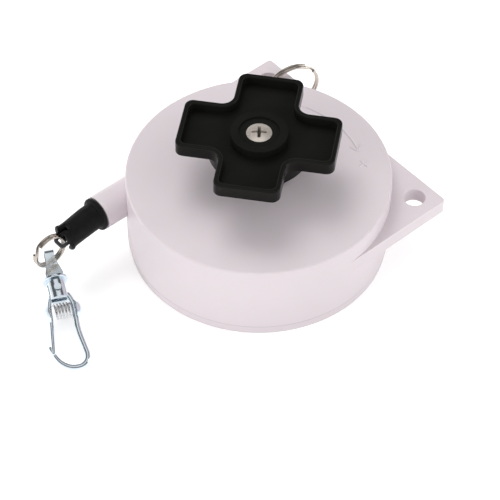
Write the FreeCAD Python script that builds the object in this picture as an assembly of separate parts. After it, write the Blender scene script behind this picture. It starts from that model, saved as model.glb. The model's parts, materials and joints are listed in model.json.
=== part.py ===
"""Tool balancer: a spring-driven rope drum in a moulded case, with a tension knob and a snap hook.

Frame: the drum axis is +Z and the case lies on its back cover at z = 0.  +X points from the drum axis
to the hanging ears, and the rope leaves the case towards -X at the side of positive Y.
All lengths are millimetres and all angles degrees.
"""
import FreeCAD, Part
import math
import os

V = FreeCAD.Vector

# ---------------------------------------------------------------- driving dimensions
# case
CASE_R = 50.0                # outer radius of the drum case
CASE_H = 34.0                # back face to front face
CASE_WALL = 2.5
CASE_TOP = 3.0               # thickness of the front wall
CASE_EDGE = 0.7              # rounding of the front edge
COVER_H = 4.0                # back cover, up to the parting line
COVER_STEP = 0.6             # the cover is this much smaller in radius than the case
SPIGOT_H = 2.2               # rim of the cover that centres it in the case
SPIGOT_WALL = 1.4
FIT = 0.05                   # radial clearance of parts assembled once
RUN = 0.06                   # radial clearance of turning parts
PLAY = 0.3                   # gap between parts that move past each other

# hanging ears
EAR_REACH = CASE_R - 0.5     # drum axis to the straight edge of the ears
EAR_THICK = 5.9
EAR_TOP = 8.6                # front face down to the top of the ears
EAR_HOLE_R = 4.2
EAR_HOLE_EDGE = 8.0          # middle of an ear hole to both edges of its ear
EAR_CORNER = 1.2

# rope outlet
NOZZLE_R = 6.7
NOZZLE_REACH = CASE_R + 1.9  # drum axis plane to the mouth
BUSH_R = 4.4
BUSH_LEN = 13.0
BUSH_BORE_R = 1.5
BUSH_FLARE = 1.3             # the bore widens by this much at each end

# rope
ROPE_R = 0.75
ROPE_OFFSET = CASE_R - 18.2  # drum axis to the straight rope, which is also the winding radius
ROPE_TURNS = 5               # whole turns stored below the one that leaves
TURN_GAP = 0.05

# cover screws
SCREW_CIRCLE_R = CASE_R - 6.8
SCREW_COUNT = 4
BOSS_R = 3.9
SCREW_R = 1.5
SCREW_LEN = 14.0
SCREW_HEAD_R = 2.9
SCREW_HEAD_H = 1.7
SCREW_SINK = 0.3             # head below the back face

# springs
SPRING_SIDES = 8             # the wire of a coil spring is drawn with this many sides

# spindle, its return spring and its thrust washer
SPINDLE_R = 6.0
SPINDLE_NECK_R = 5.0
SQUARE = 7.0                 # across the flats of the knob drive
PRESS = 3.0                  # travel of the knob when it is pressed
POCKET_FLOOR = 1.4
RETURN_WIRE_R = 0.35
RETURN_TURNS = 3.0
RETURN_LEN = 5.4
WASHER_H = 0.8
HUB_R = 9.0                  # hub of the back cover that carries the drum
HUB_TOP = 9.8

# toothed clutch that holds the knob
CLUTCH_TEETH = 12
CLUTCH_R = 13.4
CLUTCH_BORE = 9.9            # inner radius of the teeth
TOOTH_H = 1.6
TOOTH_PLAY = 0.2
TOOTH_SHARE = 0.46           # tooth width as a share of the pitch
CLUTCH_BODY = 2.4
TOOTH_RING_H = 1.2
PIN_R = 1.0

# rope drum
DRUM_FLANGE_R = ROPE_OFFSET + 6.7
DRUM_WALL = 3.1
DRUM_WEB = 1.6
DRUM_WEB_Z = 5.0
DRUM_FLANGE_T = 1.6
GROOVE_SPARE = 1.0
DRUM_BUSH_T = 1.4
DRUM_HUB_WALL = 2.2
WEB_HOLES = 6
WEB_HOLE_R = 4.5
ANCHOR_R = 1.05
ANCHOR_LEN = 5.0
RIB_R = ROPE_OFFSET + 2.2    # ring under the front wall that keeps the rope on the drum
RIB_T = 1.6

# power spring
BAND_T = 0.5
BAND_W = 12.0
BAND_PITCH_OPEN = 3.4        # pitch of the loose inner turns
BAND_PITCH_TIGHT = 2.3       # pitch of the turns nearer the drum
BAND_OPEN_TURNS = 2
BAND_FLOOR_GAP = 0.4
SPRING_COVER_T = 1.5

# knob
KNOB_HALF = 29.6             # axis to the end of an arm
KNOB_ARM = 24.6              # width of an arm
KNOB_TURN = 39.3             # direction of one arm at rest
KNOB_RIM_Z = 22.25           # rim above the front face
KNOB_UNDER_Z = 17.0          # underside of the dish above the front face
KNOB_FLOOR_T = 1.4
KNOB_WALL = 1.9
KNOB_OUTER_CORNER = 3.2
KNOB_INNER_CORNER = 4.5
KNOB_DRAFT_EDGE = 0.7        # rounding of the rim
KNOB_BOSS_R = 10.7
KNOB_RECESS_R = 7.65
KNOB_RECESS_H = 0.7
COLLAR_R = 19.0
COLLAR_Z = 12.4              # underside of the collar above the front face
COLLAR_WALL = 2.0
COLLAR_RIBS = 6
NECK_R = 8.0
NECK_BUSH_WALL = 1.4
NECK_BUSH_FLANGE = 1.2
KNOB_SCREW_R = 2.5
KNOB_SCREW_HEAD_R = 4.8
KNOB_SCREW_HEAD_H = 2.5
KNOB_SCREW_DOME = 0.9
KNOB_SCREW_LEN = 15.0
RECESS_ARM = 2.6             # cross recess of the screw
RECESS_ARM_W = 1.06
RECESS_DEPTH = 1.25

# rubber stop and rope end
DROOP = 10.0                 # the rope end hangs this much below the outlet axis
ROPE_BEND_SHARE = 0.45       # part of the rope inside the stop that bends, each side of the mouth
STOP_FLANGE_R = 6.6
STOP_FLANGE_T = 2.0
STOP_FLANGE_EDGE = 0.4
STOP_R = 5.4                 # body beside the flange
STOP_TIP_R = 4.8             # body before the end bead
STOP_BEAD_R = 5.3
STOP_BEAD_LEN = 1.8
STOP_LEN = 17.0
STOP_SEAT = 0.1
POCKET_R = 3.5
POCKET_DEPTH = 12.5
SLOT_W = 3.6
SLOT_DEPTH = 3.2
FERRULE_R = 1.9
FERRULE_LEN = 5.0
LOOP_R = 2.3                 # bend of the rope loop round the hook ring
LOOP_SPREAD = 3.6            # length over which the legs of the loop spread

# split rings
RING_WIRE_R = 0.62
RING_GAP = 0.04              # between the two turns
RING_JOG = 4.2               # length over which the wire crosses from one turn to the other
HOOK_RING_TIP = 60.0         # where the wire's tips are, round the ring
HANG_RING_TIP = 60.0
HOOK_RING_R = 7.2
HOOK_RING_REACH = 6.6        # end of the rubber stop to the centre of the ring
HANG_RING_R = 11.0
HANG_RING_YAW = -19.0        # direction of the ring's plane
HANG_RING_REST = -47.0       # it hangs this much below the plane of the ears
HANG_BAR_GAP = 0.3

# snap hook; positions run down the hook from the wire of the ring
HOOK_YAW = -26.1
EYE_SLOT_TOP = 4.2
EYE_SLOT_HALF = 1.95
EYE_T = 0.9
EYE_W = 3.5
EYE_FOOT_W = 6.6
EYE_FLARE_Y = 2.6
EYE_FLARE_HALF = 2.5
EYE_FOOT_Y = 6.3             # inside of the foot of the eye
POST_R = 1.3
POST_HEAD_R = 2.0
POST_HEAD_H = 1.0
DISC_R = 4.9
DISC_T = 1.2
DISC_EDGE = 0.45
BARREL_R = 3.45
BARREL_END = 16.0
BARREL_SLOT_W = 2.6
BARREL_SLOT_Y = 9.8
RIVET_Y = 12.3
RIVET_R = 0.8
RIVET_HEAD_R = 1.35
RIVET_HEAD_H = 0.6
TANG_T = 1.1
TANG_GAP = 0.1
TANG_R = 2.2
JAW_WIRE_R = 1.0
JAW_HALF = 6.3               # half width of the loop to the middle of the wire
JAW_ARC_Y = 38.0             # centre of the round end
JAW_NOSE = 1.4               # the nose reaches this far back up
NOSE_IN = 0.9                # and leans inwards by this much
NOSE_BEND_R = 5.4
LEG_X = 4.65                 # legs beside the spring
LEG_TOP_X = 3.1
LEG_TOP_Y = 15.0
LEG_STRAIGHT = 3.2           # the legs run straight this far each side of the spring's axis
LEG_BEND_R = 4.0
PAD_Y = 21.1
PAD_R = 3.9
PAD_BULGE = 2.2
PAD_T = 0.8
GATE_WIRE_R = 0.8
GATE_TIP_Y = 39.2
LEVER_WIRE_R = 0.4
LEVER_COIL_R = 2.7
LEVER_TURNS = 5.0

# ---------------------------------------------------------------- derived places
EAR_HOLE_X = EAR_REACH - EAR_HOLE_EDGE  # ear holes lie at (x, +x) and (x, -x)
EAR_TOP_Z = CASE_H - EAR_TOP
EAR_MID_Z = EAR_TOP_Z - EAR_THICK / 2
ROPE_Z = EAR_MID_Z
CAVITY_R = CASE_R - CASE_WALL
CAVITY_TOP = CASE_H - CASE_TOP
DRUM_CORE_R = ROPE_OFFSET - ROPE_R - TURN_GAP
DRUM_INNER_R = DRUM_CORE_R - DRUM_WALL
TURN_PITCH = 2 * ROPE_R + TURN_GAP
GROOVE_TOP = ROPE_Z + ROPE_R + GROOVE_SPARE / 2
GROOVE_LOW = ROPE_Z - (ROPE_TURNS + 0.5) * TURN_PITCH - GROOVE_SPARE
DRUM_TOP = GROOVE_TOP + DRUM_FLANGE_T
BAND_LOW = HUB_TOP + BAND_FLOOR_GAP
BAND_TOP = BAND_LOW + BAND_W
BAND_INNER_R = SPINDLE_R + 1.5 * BAND_T
LEDGE_Z = BAND_TOP + BAND_FLOOR_GAP
LEDGE = 0.8                  # width of the ledge under the spring cover
WASHER_Z = POCKET_FLOOR + RETURN_LEN
SPINDLE_Z = WASHER_Z + WASHER_H
TOOTH_TIP_Z = CAVITY_TOP - TOOTH_RING_H - TOOTH_PLAY
CLUTCH_TOP = TOOTH_TIP_Z - TOOTH_H
CLUTCH_Z = CLUTCH_TOP - CLUTCH_BODY
NECK_LOW = CAVITY_TOP - TOOTH_RING_H - TOOTH_PLAY
COLLAR_LOW = CASE_H + COLLAR_Z
DISH_LOW = CASE_H + KNOB_UNDER_Z
DISH_FLOOR = DISH_LOW + KNOB_FLOOR_T
RIM_TOP = CASE_H + KNOB_RIM_Z
RECESS_FLOOR = RIM_TOP - KNOB_RECESS_H
SQUARE_TOP = DISH_LOW
MOUTH = V(-NOZZLE_REACH, ROPE_OFFSET, ROPE_Z)


# ---------------------------------------------------------------- helpers
def polar(radius, angle, z=0.0):
    """Point at a radius and an angle in degrees."""
    turn = math.radians(angle)
    return V(radius * math.cos(turn), radius * math.sin(turn), z)


def frame(origin, x_axis, y_axis):
    """Placement that carries local X and Y onto two perpendicular directions."""
    x_axis = V(x_axis).normalize()
    y_axis = V(y_axis).normalize()
    z_axis = x_axis.cross(y_axis)
    return FreeCAD.Placement(FreeCAD.Matrix(
        x_axis.x, y_axis.x, z_axis.x, origin.x,
        x_axis.y, y_axis.y, z_axis.y, origin.y,
        x_axis.z, y_axis.z, z_axis.z, origin.z,
        0, 0, 0, 1))


def moved(shape, placement):
    """Copy of a shape moved by a placement."""
    copy = shape.copy()
    copy.Placement = placement.multiply(copy.Placement)
    return copy


def rod(radius, low, high):
    """Cylinder on the Z axis between two heights."""
    return Part.makeCylinder(radius, high - low, V(0, 0, low))


def tube(outer, inner, low, high):
    """Hollow cylinder on the Z axis."""
    return rod(outer, low, high).cut(rod(inner, low - 1, high + 1))


def closed_face(points):
    """Flat face through corner points."""
    return Part.Face(Part.makePolygon(points + [points[0]]))


def turned(profile):
    """Solid of revolution about Z from (radius, height) corners."""
    face = closed_face([V(r, 0, z) for r, z in profile])
    return face.revolve(V(0, 0, 0), V(0, 0, 1), 360)


def box(x_low, x_high, y_low, y_high, z_low, z_high):
    """Box between two corners."""
    return Part.makeBox(x_high - x_low, y_high - y_low, z_high - z_low, V(x_low, y_low, z_low))


def around(shape, count, start=0.0):
    """Copies of a shape spaced evenly about Z."""
    copies = []
    for index in range(count):
        copy = shape.copy()
        copy.rotate(V(0, 0, 0), V(0, 0, 1), start + index * 360.0 / count)
        copies.append(copy)
    return copies


def edges_at(shape, z, tolerance=0.01):
    """Edges that lie in the plane at height z."""
    return [e for e in shape.Edges
            if abs(e.BoundBox.ZMin - z) < tolerance and abs(e.BoundBox.ZMax - z) < tolerance]


def upright_edges(shape):
    """Straight edges parallel to Z."""
    return [e for e in shape.Edges
            if e.BoundBox.XLength < 1e-6 and e.BoundBox.YLength < 1e-6]


def coil(mean_r, wire_r, pitch, turns):
    """Spring wire wound about Z from the plane z = 0, many-sided so that it has few facets."""
    path = Part.Wire(Part.makeHelix(pitch, pitch * turns, mean_r).Edges)
    heading = V(0, mean_r * 2 * math.pi, pitch).normalize()
    outward = V(1, 0, 0)
    sideways = heading.cross(outward)
    corners = []
    for index in range(SPRING_SIDES + 1):
        angle = 2 * math.pi * index / SPRING_SIDES
        offset = outward * math.cos(angle) + sideways * math.sin(angle)
        corners.append(V(mean_r, 0, 0) + offset * wire_r)
    return path.makePipeShell([Part.makePolygon(corners)], True, True)


def bent_path(points, radii):
    """Wire of straight runs joined by tangent arcs, one radius for each inner point."""
    edges = []
    start = points[0]
    for before, corner, after, radius in zip(points, points[1:], points[2:], radii):
        back = (before - corner).normalize()
        ahead = (after - corner).normalize()
        half = back.getAngle(ahead) / 2
        tangent = radius / math.tan(half)
        bisector = (back + ahead).normalize()
        arc_in = corner + back * tangent
        arc_mid = corner + bisector * (radius / math.sin(half) - radius)
        arc_out = corner + ahead * tangent
        if (arc_in - start).Length > 1e-6:
            edges.append(Part.LineSegment(start, arc_in).toShape())
        edges.append(Part.Arc(arc_in, arc_mid, arc_out).toShape())
        start = arc_out
    if (points[-1] - start).Length > 1e-6:
        edges.append(Part.LineSegment(start, points[-1]).toShape())
    return Part.Wire(edges)


def swept(path, radius):
    """Round bar along a wire."""
    first = path.OrderedEdges[0]
    start = first.valueAt(first.FirstParameter)
    heading = first.tangentAt(first.FirstParameter)
    section = Part.Wire(Part.makeCircle(radius, start, heading))
    return path.makePipeShell([section], True, False)


def link_plate(center_a, radius_a, center_b, radius_b, low, high):
    """Plate between two round ends, joined by their outer tangents."""
    span = center_b - center_a
    side = math.acos((radius_a - radius_b) / span.Length)
    heading = math.atan2(span.y, span.x)
    corners = []
    for sign in (1, -1):
        normal = V(math.cos(heading + sign * side), math.sin(heading + sign * side), 0)
        pair = [center_a + normal * radius_a, center_b + normal * radius_b]
        corners += pair if sign > 0 else pair[::-1]
    body = closed_face([V(p.x, p.y, low) for p in corners]).extrude(V(0, 0, high - low))
    for center, radius in ((center_a, radius_a), (center_b, radius_b)):
        body = body.fuse(Part.makeCylinder(radius, high - low, V(center.x, center.y, low)))
    return body.removeSplitter()


# ---------------------------------------------------------------- case
def ear_plate():
    """Square plate whose two outer corners stand out of the round case as hanging ears."""
    plate = box(0, EAR_REACH, -CASE_R, CASE_R, EAR_TOP_Z - EAR_THICK, EAR_TOP_Z)
    corners = [e for e in upright_edges(plate) if e.BoundBox.XMin > EAR_REACH / 2]
    return plate.makeFillet(EAR_CORNER, corners)


def nozzle(radius, mouth_x, inner_x):
    """Cylinder on the outlet axis between two places along X."""
    return Part.makeCylinder(radius, inner_x - mouth_x, V(mouth_x, ROPE_OFFSET, ROPE_Z), V(1, 0, 0))


def screw_places():
    """Axes of the cover screws, between the ears and clear of the outlet."""
    return [polar(SCREW_CIRCLE_R, index * 360.0 / SCREW_COUNT) for index in range(SCREW_COUNT)]


def front_shell():
    """Moulded case: front wall, rim, ears and rope outlet in one piece."""
    body = rod(CASE_R, COVER_H, CASE_H)
    body = body.makeFillet(CASE_EDGE, edges_at(body, CASE_H))
    body = body.fuse(ear_plate())
    body = body.fuse(nozzle(NOZZLE_R, -NOZZLE_REACH, 0))
    body = body.cut(rod(CAVITY_R, COVER_H - 1, CAVITY_TOP))
    bosses = [Part.makeCylinder(BOSS_R, CAVITY_TOP + CASE_TOP / 2 - COVER_H, V(p.x, p.y, COVER_H))
              for p in screw_places()]
    rib = tube(RIB_R + RIB_T, RIB_R, DRUM_TOP + PLAY, CAVITY_TOP + CASE_TOP / 2)
    body = body.fuse(bosses + [rib])
    holes = [Part.makeCylinder(SCREW_R + FIT, SCREW_LEN + 1, V(p.x, p.y, COVER_H - 1))
             for p in screw_places()]
    holes += [Part.makeCylinder(EAR_HOLE_R, CASE_H, V(EAR_HOLE_X, side * EAR_HOLE_X, 0))
              for side in (1, -1)]
    holes.append(rod(NECK_R + RUN + NECK_BUSH_WALL + FIT, 0, CASE_H + 1))
    mouth_x = -NOZZLE_REACH
    holes.append(nozzle(BUSH_R + FIT, mouth_x - 1, mouth_x + BUSH_LEN))
    holes.append(nozzle(BUSH_R - 1, mouth_x, -math.sqrt(CAVITY_R ** 2 - (ROPE_OFFSET + BUSH_R) ** 2)))
    return body.cut(Part.makeCompound(holes)).removeSplitter()


def back_cover():
    """Moulded cover with the hub that carries the drum and guides the spindle."""
    body = rod(CASE_R - COVER_STEP, 0, COVER_H)
    spigot = tube(CAVITY_R - FIT, CAVITY_R - FIT - SPIGOT_WALL, COVER_H, COVER_H + SPIGOT_H)
    spigot = spigot.cut([Part.makeCylinder(BOSS_R + FIT * 4, CASE_H, V(p.x, p.y, 0))
                         for p in screw_places()])
    body = body.fuse([spigot, rod(HUB_R, COVER_H, HUB_TOP)])
    body = body.cut(rod(SPINDLE_R + RUN, POCKET_FLOOR, HUB_TOP + 1))
    head_low = SCREW_SINK + SCREW_HEAD_H
    for p in screw_places():
        sink = Part.makeCylinder(SCREW_HEAD_R + FIT, SCREW_SINK + FIT, V(p.x, p.y, -FIT))
        cone = Part.makeCone(SCREW_HEAD_R + FIT, SCREW_R + FIT, SCREW_HEAD_H, V(p.x, p.y, SCREW_SINK))
        shank = Part.makeCylinder(SCREW_R + FIT, COVER_H, V(p.x, p.y, head_low - FIT))
        body = body.cut([sink, cone, shank])
    return body


def cover_screws():
    """Countersunk screws that hold the back cover."""
    screws = []
    for p in screw_places():
        head = Part.makeCone(SCREW_HEAD_R, SCREW_R, SCREW_HEAD_H, V(p.x, p.y, SCREW_SINK))
        shank = Part.makeCylinder(SCREW_R, SCREW_LEN - SCREW_HEAD_H,
                                  V(p.x, p.y, SCREW_SINK + SCREW_HEAD_H))
        screws.append(head.fuse(shank))
    return Part.makeCompound(screws)


def outlet_bush():
    """Hard guide bush in the outlet, its bore flared at both ends."""
    half = BUSH_LEN / 2
    flare_r = BUSH_BORE_R + BUSH_FLARE
    profile = [(BUSH_R, 0), (BUSH_R, BUSH_LEN), (flare_r, BUSH_LEN),
               (BUSH_BORE_R, BUSH_LEN - half / 2), (BUSH_BORE_R, half / 2), (flare_r, 0)]
    bush = turned(profile)
    return moved(bush, frame(MOUTH, V(0, 1, 0), V(0, 0, 1)))


def neck_bush():
    """Flanged bearing bush for the neck of the knob."""
    bore = NECK_R + RUN
    outer = bore + NECK_BUSH_WALL
    body = tube(outer, bore, CAVITY_TOP, CASE_H)
    flange = tube(outer + NECK_BUSH_WALL, bore, CASE_H, CASE_H + NECK_BUSH_FLANGE)
    return body.fuse(flange).removeSplitter()


# ---------------------------------------------------------------- clutch and spindle
def tooth_crown(low, high, start):
    """Ring of radial teeth, each a sector between two radii."""
    pitch = 360.0 / CLUTCH_TEETH
    width = pitch * TOOTH_SHARE
    tooth = Part.makeCylinder(CLUTCH_R, high - low, V(0, 0, low), V(0, 0, 1), width)
    tooth = tooth.cut(rod(CLUTCH_BORE, low - 1, high + 1))
    return around(tooth, CLUTCH_TEETH, start - width / 2)


def clutch_ring():
    """Toothed ring on the spindle that the return spring pushes into the fixed one."""
    body = tube(CLUTCH_R, SPINDLE_NECK_R + FIT, CLUTCH_Z, CLUTCH_TOP)
    body = body.fuse(tooth_crown(CLUTCH_TOP, TOOTH_TIP_Z, 0))
    return body.cut(clutch_pin_bore(PIN_R + FIT)).removeSplitter()


def tooth_ring():
    """Fixed toothed ring under the front wall."""
    low = CAVITY_TOP - TOOTH_RING_H
    body = tube(CLUTCH_R, CLUTCH_BORE, low, CAVITY_TOP)
    teeth = tooth_crown(low - TOOTH_H, low, 180.0 / CLUTCH_TEETH)
    return body.fuse(teeth).removeSplitter()


def clutch_pin_bore(radius):
    """Cross bore through the clutch ring and the spindle."""
    length = 2 * CLUTCH_R + 2
    return Part.makeCylinder(radius, length, V(0, -length / 2, CLUTCH_Z + CLUTCH_BODY / 2), V(0, 1, 0))


def clutch_pin():
    """Pin that locks the clutch ring to the spindle."""
    return clutch_pin_bore(PIN_R).common(rod(CLUTCH_R - 1, CLUTCH_Z, CLUTCH_TOP))


def spindle():
    """Spring arbor with a slot for the band, a neck for the clutch and a square for the knob."""
    body = rod(SPINDLE_R, SPINDLE_Z, CLUTCH_Z)
    body = body.fuse(rod(SPINDLE_NECK_R, CLUTCH_Z, NECK_LOW))
    square = box(-SQUARE / 2, SQUARE / 2, -SQUARE / 2, SQUARE / 2, NECK_LOW, SQUARE_TOP)
    square.rotate(V(0, 0, 0), V(0, 0, 1), KNOB_TURN)
    body = body.fuse(square).removeSplitter()
    slot_top = BAND_TOP + PRESS + PLAY
    slot = box(0, SPINDLE_R + 1, -BAND_T / 2 - FIT, BAND_T / 2 + FIT, BAND_LOW - PLAY, slot_top)
    thread = rod(KNOB_SCREW_R + FIT, SQUARE_TOP - KNOB_SCREW_LEN, SQUARE_TOP + 1)
    return body.cut([slot, clutch_pin_bore(PIN_R + FIT), thread])


def thrust_washer():
    """Washer between the spindle and its return spring."""
    return rod(SPINDLE_R, WASHER_Z, WASHER_Z + WASHER_H)


def return_spring():
    """Compression spring that lifts the spindle back into the clutch."""
    pitch = (RETURN_LEN - 2 * RETURN_WIRE_R) / RETURN_TURNS
    spring = coil(SPINDLE_R - 2 * RETURN_WIRE_R, RETURN_WIRE_R, pitch, RETURN_TURNS)
    spring.translate(V(0, 0, POCKET_FLOOR + RETURN_WIRE_R))
    return spring


# ---------------------------------------------------------------- drum and power spring
def rope_drum():
    """Spool with a rope groove outside and a cup for the power spring inside."""
    hub_out = HUB_R + RUN + DRUM_BUSH_T + FIT + DRUM_HUB_WALL
    hub_bore = HUB_R + RUN + DRUM_BUSH_T + FIT
    hub_top = HUB_TOP - PLAY / 2
    ledge_r = DRUM_INNER_R + LEDGE
    web_top = DRUM_WEB_Z + DRUM_WEB
    groove_low = GROOVE_LOW - DRUM_FLANGE_T
    profile = [(hub_bore, DRUM_WEB_Z), (DRUM_CORE_R, DRUM_WEB_Z), (DRUM_CORE_R, groove_low),
               (DRUM_FLANGE_R, groove_low), (DRUM_FLANGE_R, GROOVE_LOW), (DRUM_CORE_R, GROOVE_LOW),
               (DRUM_CORE_R, GROOVE_TOP), (DRUM_FLANGE_R, GROOVE_TOP), (DRUM_FLANGE_R, DRUM_TOP),
               (ledge_r, DRUM_TOP), (ledge_r, LEDGE_Z), (DRUM_INNER_R, LEDGE_Z),
               (DRUM_INNER_R, web_top), (hub_out, web_top), (hub_out, hub_top), (hub_bore, hub_top)]
    body = turned(profile)
    hole_circle = (hub_out + DRUM_INNER_R) / 2
    hole = Part.makeCylinder(WEB_HOLE_R, 3 * DRUM_WEB, V(hole_circle, 0, DRUM_WEB_Z - DRUM_WEB))
    body = body.cut(around(hole, WEB_HOLES))
    anchor = anchor_place()
    pocket = Part.makeCylinder(ANCHOR_R + FIT, ANCHOR_LEN + FIT, anchor)
    entry = box(anchor.x, DRUM_CORE_R + 1, -ROPE_R - FIT, ROPE_R + FIT,
                anchor.z, anchor.z + ANCHOR_LEN)
    return body.cut([pocket, entry])


def anchor_place():
    """Foot of the ferrule that holds the inner end of the rope in the drum wall."""
    return V(DRUM_CORE_R - DRUM_WALL / 2, 0, GROOVE_LOW)


def rope_anchor():
    """Ferrule crimped on the inner end of the rope."""
    return Part.makeCylinder(ANCHOR_R, ANCHOR_LEN, anchor_place())


def drum_bush():
    """Bearing bush pressed into the drum hub."""
    bore = HUB_R + RUN
    return tube(bore + DRUM_BUSH_T, bore, DRUM_WEB_Z, HUB_TOP - PLAY / 2)


def spring_cover():
    """Ring plate that keeps the power spring in the drum."""
    return tube(DRUM_INNER_R + LEDGE - FIT, CLUTCH_R + PLAY, LEDGE_Z, LEDGE_Z + SPRING_COVER_T)


def rope_winding():
    """Stored turns of rope as one sleeve on the drum."""
    low = ROPE_Z - (ROPE_TURNS + 0.5) * TURN_PITCH
    return tube(ROPE_OFFSET + ROPE_R, DRUM_CORE_R + TURN_GAP / 2, low, ROPE_Z - TURN_PITCH / 2)


def rope_last_turn():
    """Topmost turn, three quarters round the drum to where the rope leaves it."""
    turn = Part.makeTorus(ROPE_OFFSET, ROPE_R, V(0, 0, ROPE_Z), V(0, 0, 1), 0, 360, 270)
    turn.rotate(V(0, 0, 0), V(0, 0, 1), 180)
    return turn


def spiral_band():
    """Flat spiral of half-turn arcs that stay tangent as the pitch changes, open inside, tight outside."""
    radius = BAND_INNER_R
    center = 0.0
    side = 1
    arcs = []
    half_turns = 0
    while radius + BAND_PITCH_TIGHT / 2 < DRUM_INNER_R - BAND_T:
        arcs.append((center, radius, side))
        pitch = BAND_PITCH_OPEN if half_turns < 2 * BAND_OPEN_TURNS else BAND_PITCH_TIGHT
        junction = center - side * radius
        radius += pitch / 2
        center = junction + side * radius
        side = -side
        half_turns += 1
    return arcs


def band_edges(arcs, offset):
    """Edges of one side of the band."""
    edges = []
    for center, radius, side in arcs:
        r = radius + offset
        start = V(center + side * r, 0, BAND_LOW)
        middle = V(center, side * r, BAND_LOW)
        end = V(center - side * r, 0, BAND_LOW)
        edges.append(Part.Arc(start, middle, end).toShape())
    return edges


def power_spring():
    """Spiral band spring with its inner end in the slot of the spindle."""
    arcs = spiral_band()
    inner = band_edges(arcs, -BAND_T / 2)
    outer = band_edges(arcs, BAND_T / 2)
    first_in = inner[0].Vertexes[0].Point
    first_out = outer[0].Vertexes[0].Point
    last_in = inner[-1].Vertexes[-1].Point
    last_out = outer[-1].Vertexes[-1].Point
    caps = [Part.LineSegment(first_in, first_out).toShape(), Part.LineSegment(last_in, last_out).toShape()]
    outline = Part.Wire(Part.__sortEdges__(inner + outer + caps))
    band = Part.Face(outline).extrude(V(0, 0, BAND_W))
    hook = box(SPINDLE_R / 2, BAND_INNER_R, -BAND_T / 2, BAND_T / 2, BAND_LOW, BAND_TOP)
    return band.fuse(hook).removeSplitter()


# ---------------------------------------------------------------- knob
def cross_outline(half, arm, outer_corner, inner_corner, z):
    """Rounded cross of four arms as a flat face."""
    reach = half
    width = arm / 2
    corners = []
    for index in range(4):
        for x, y in ((reach, -width), (reach, width), (width, width)):
            point = V(x, y, z)
            point = FreeCAD.Rotation(V(0, 0, 1), 90.0 * index).multVec(point)
            corners.append(point)
    radii = [outer_corner, outer_corner, inner_corner] * 4
    start = (corners[-1] + corners[0]) * 0.5
    points = [start] + corners + [start]
    return Part.Face(bent_path(points, radii))


def cross_knob():
    """Cross-shaped dish with a central boss, a collar below it and a neck into the case."""
    dish = cross_outline(KNOB_HALF, KNOB_ARM, KNOB_OUTER_CORNER, KNOB_INNER_CORNER, DISH_LOW)
    dish = dish.extrude(V(0, 0, RIM_TOP - DISH_LOW))
    inner = cross_outline(KNOB_HALF - KNOB_WALL, KNOB_ARM - 2 * KNOB_WALL,
                          KNOB_OUTER_CORNER - KNOB_WALL / 2, KNOB_INNER_CORNER + KNOB_WALL, DISH_FLOOR)
    dish = dish.cut(inner.extrude(V(0, 0, RIM_TOP)))
    dish = dish.makeFillet(KNOB_DRAFT_EDGE, edges_at(dish, RIM_TOP))
    boss = rod(KNOB_BOSS_R, DISH_LOW, RIM_TOP)
    collar = rod(COLLAR_R, COLLAR_LOW, DISH_LOW + KNOB_FLOOR_T / 2)
    hollow = tube(COLLAR_R - COLLAR_WALL, NECK_R + COLLAR_WALL, COLLAR_LOW - 1, DISH_LOW - COLLAR_WALL / 2)
    rib = box(NECK_R, COLLAR_R, -COLLAR_WALL / 2, COLLAR_WALL / 2, COLLAR_LOW, DISH_LOW)
    rib = rib.common(rod(COLLAR_R - COLLAR_WALL / 2, COLLAR_LOW, DISH_LOW))
    collar = collar.cut(hollow).fuse(around(rib, COLLAR_RIBS))
    neck = rod(NECK_R, NECK_LOW, DISH_LOW)
    body = dish.fuse([boss, collar, neck]).removeSplitter()
    flat = SQUARE / 2 + FIT
    square = box(-flat, flat, -flat, flat, NECK_LOW - 1, SQUARE_TOP + PLAY)
    cone_low = RECESS_FLOOR - KNOB_SCREW_HEAD_H
    cone = Part.makeCone(KNOB_SCREW_R + FIT, KNOB_SCREW_HEAD_R + FIT, KNOB_SCREW_HEAD_H, V(0, 0, cone_low))
    bore = rod(KNOB_SCREW_R + FIT, SQUARE_TOP, RECESS_FLOOR)
    body = body.cut([square, rod(KNOB_RECESS_R, RECESS_FLOOR, RIM_TOP + 1), cone, bore])
    body.rotate(V(0, 0, 0), V(0, 0, 1), KNOB_TURN)
    return body


def knob_screw():
    """Countersunk machine screw with a low dome and a cross recess."""
    cone_low = RECESS_FLOOR - KNOB_SCREW_HEAD_H
    cone = Part.makeCone(KNOB_SCREW_R, KNOB_SCREW_HEAD_R, KNOB_SCREW_HEAD_H, V(0, 0, cone_low))
    dome_r = (KNOB_SCREW_HEAD_R ** 2 + KNOB_SCREW_DOME ** 2) / (2 * KNOB_SCREW_DOME)
    ball = Part.makeSphere(dome_r, V(0, 0, RECESS_FLOOR + KNOB_SCREW_DOME - dome_r))
    dome = ball.common(rod(KNOB_SCREW_HEAD_R, RECESS_FLOOR, RECESS_FLOOR + KNOB_SCREW_DOME))
    shank_low = SQUARE_TOP - KNOB_SCREW_LEN + 1
    body = cone.fuse([dome, rod(KNOB_SCREW_R, shank_low, cone_low)])
    recess_low = RECESS_FLOOR - RECESS_DEPTH
    for half_x, half_y in ((RECESS_ARM, RECESS_ARM_W / 2), (RECESS_ARM_W / 2, RECESS_ARM)):
        body = body.cut(box(-half_x, half_x, -half_y, half_y, recess_low, RIM_TOP + KNOB_SCREW_DOME))
    return body


# ---------------------------------------------------------------- rope end
def rope_end_frame():
    """Local X runs out of the mouth along the drooping rope end, local Z stays upward."""
    turn = math.radians(DROOP)
    return frame(MOUTH, V(-math.cos(turn), 0, -math.sin(turn)), V(0, -1, 0))


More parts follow.
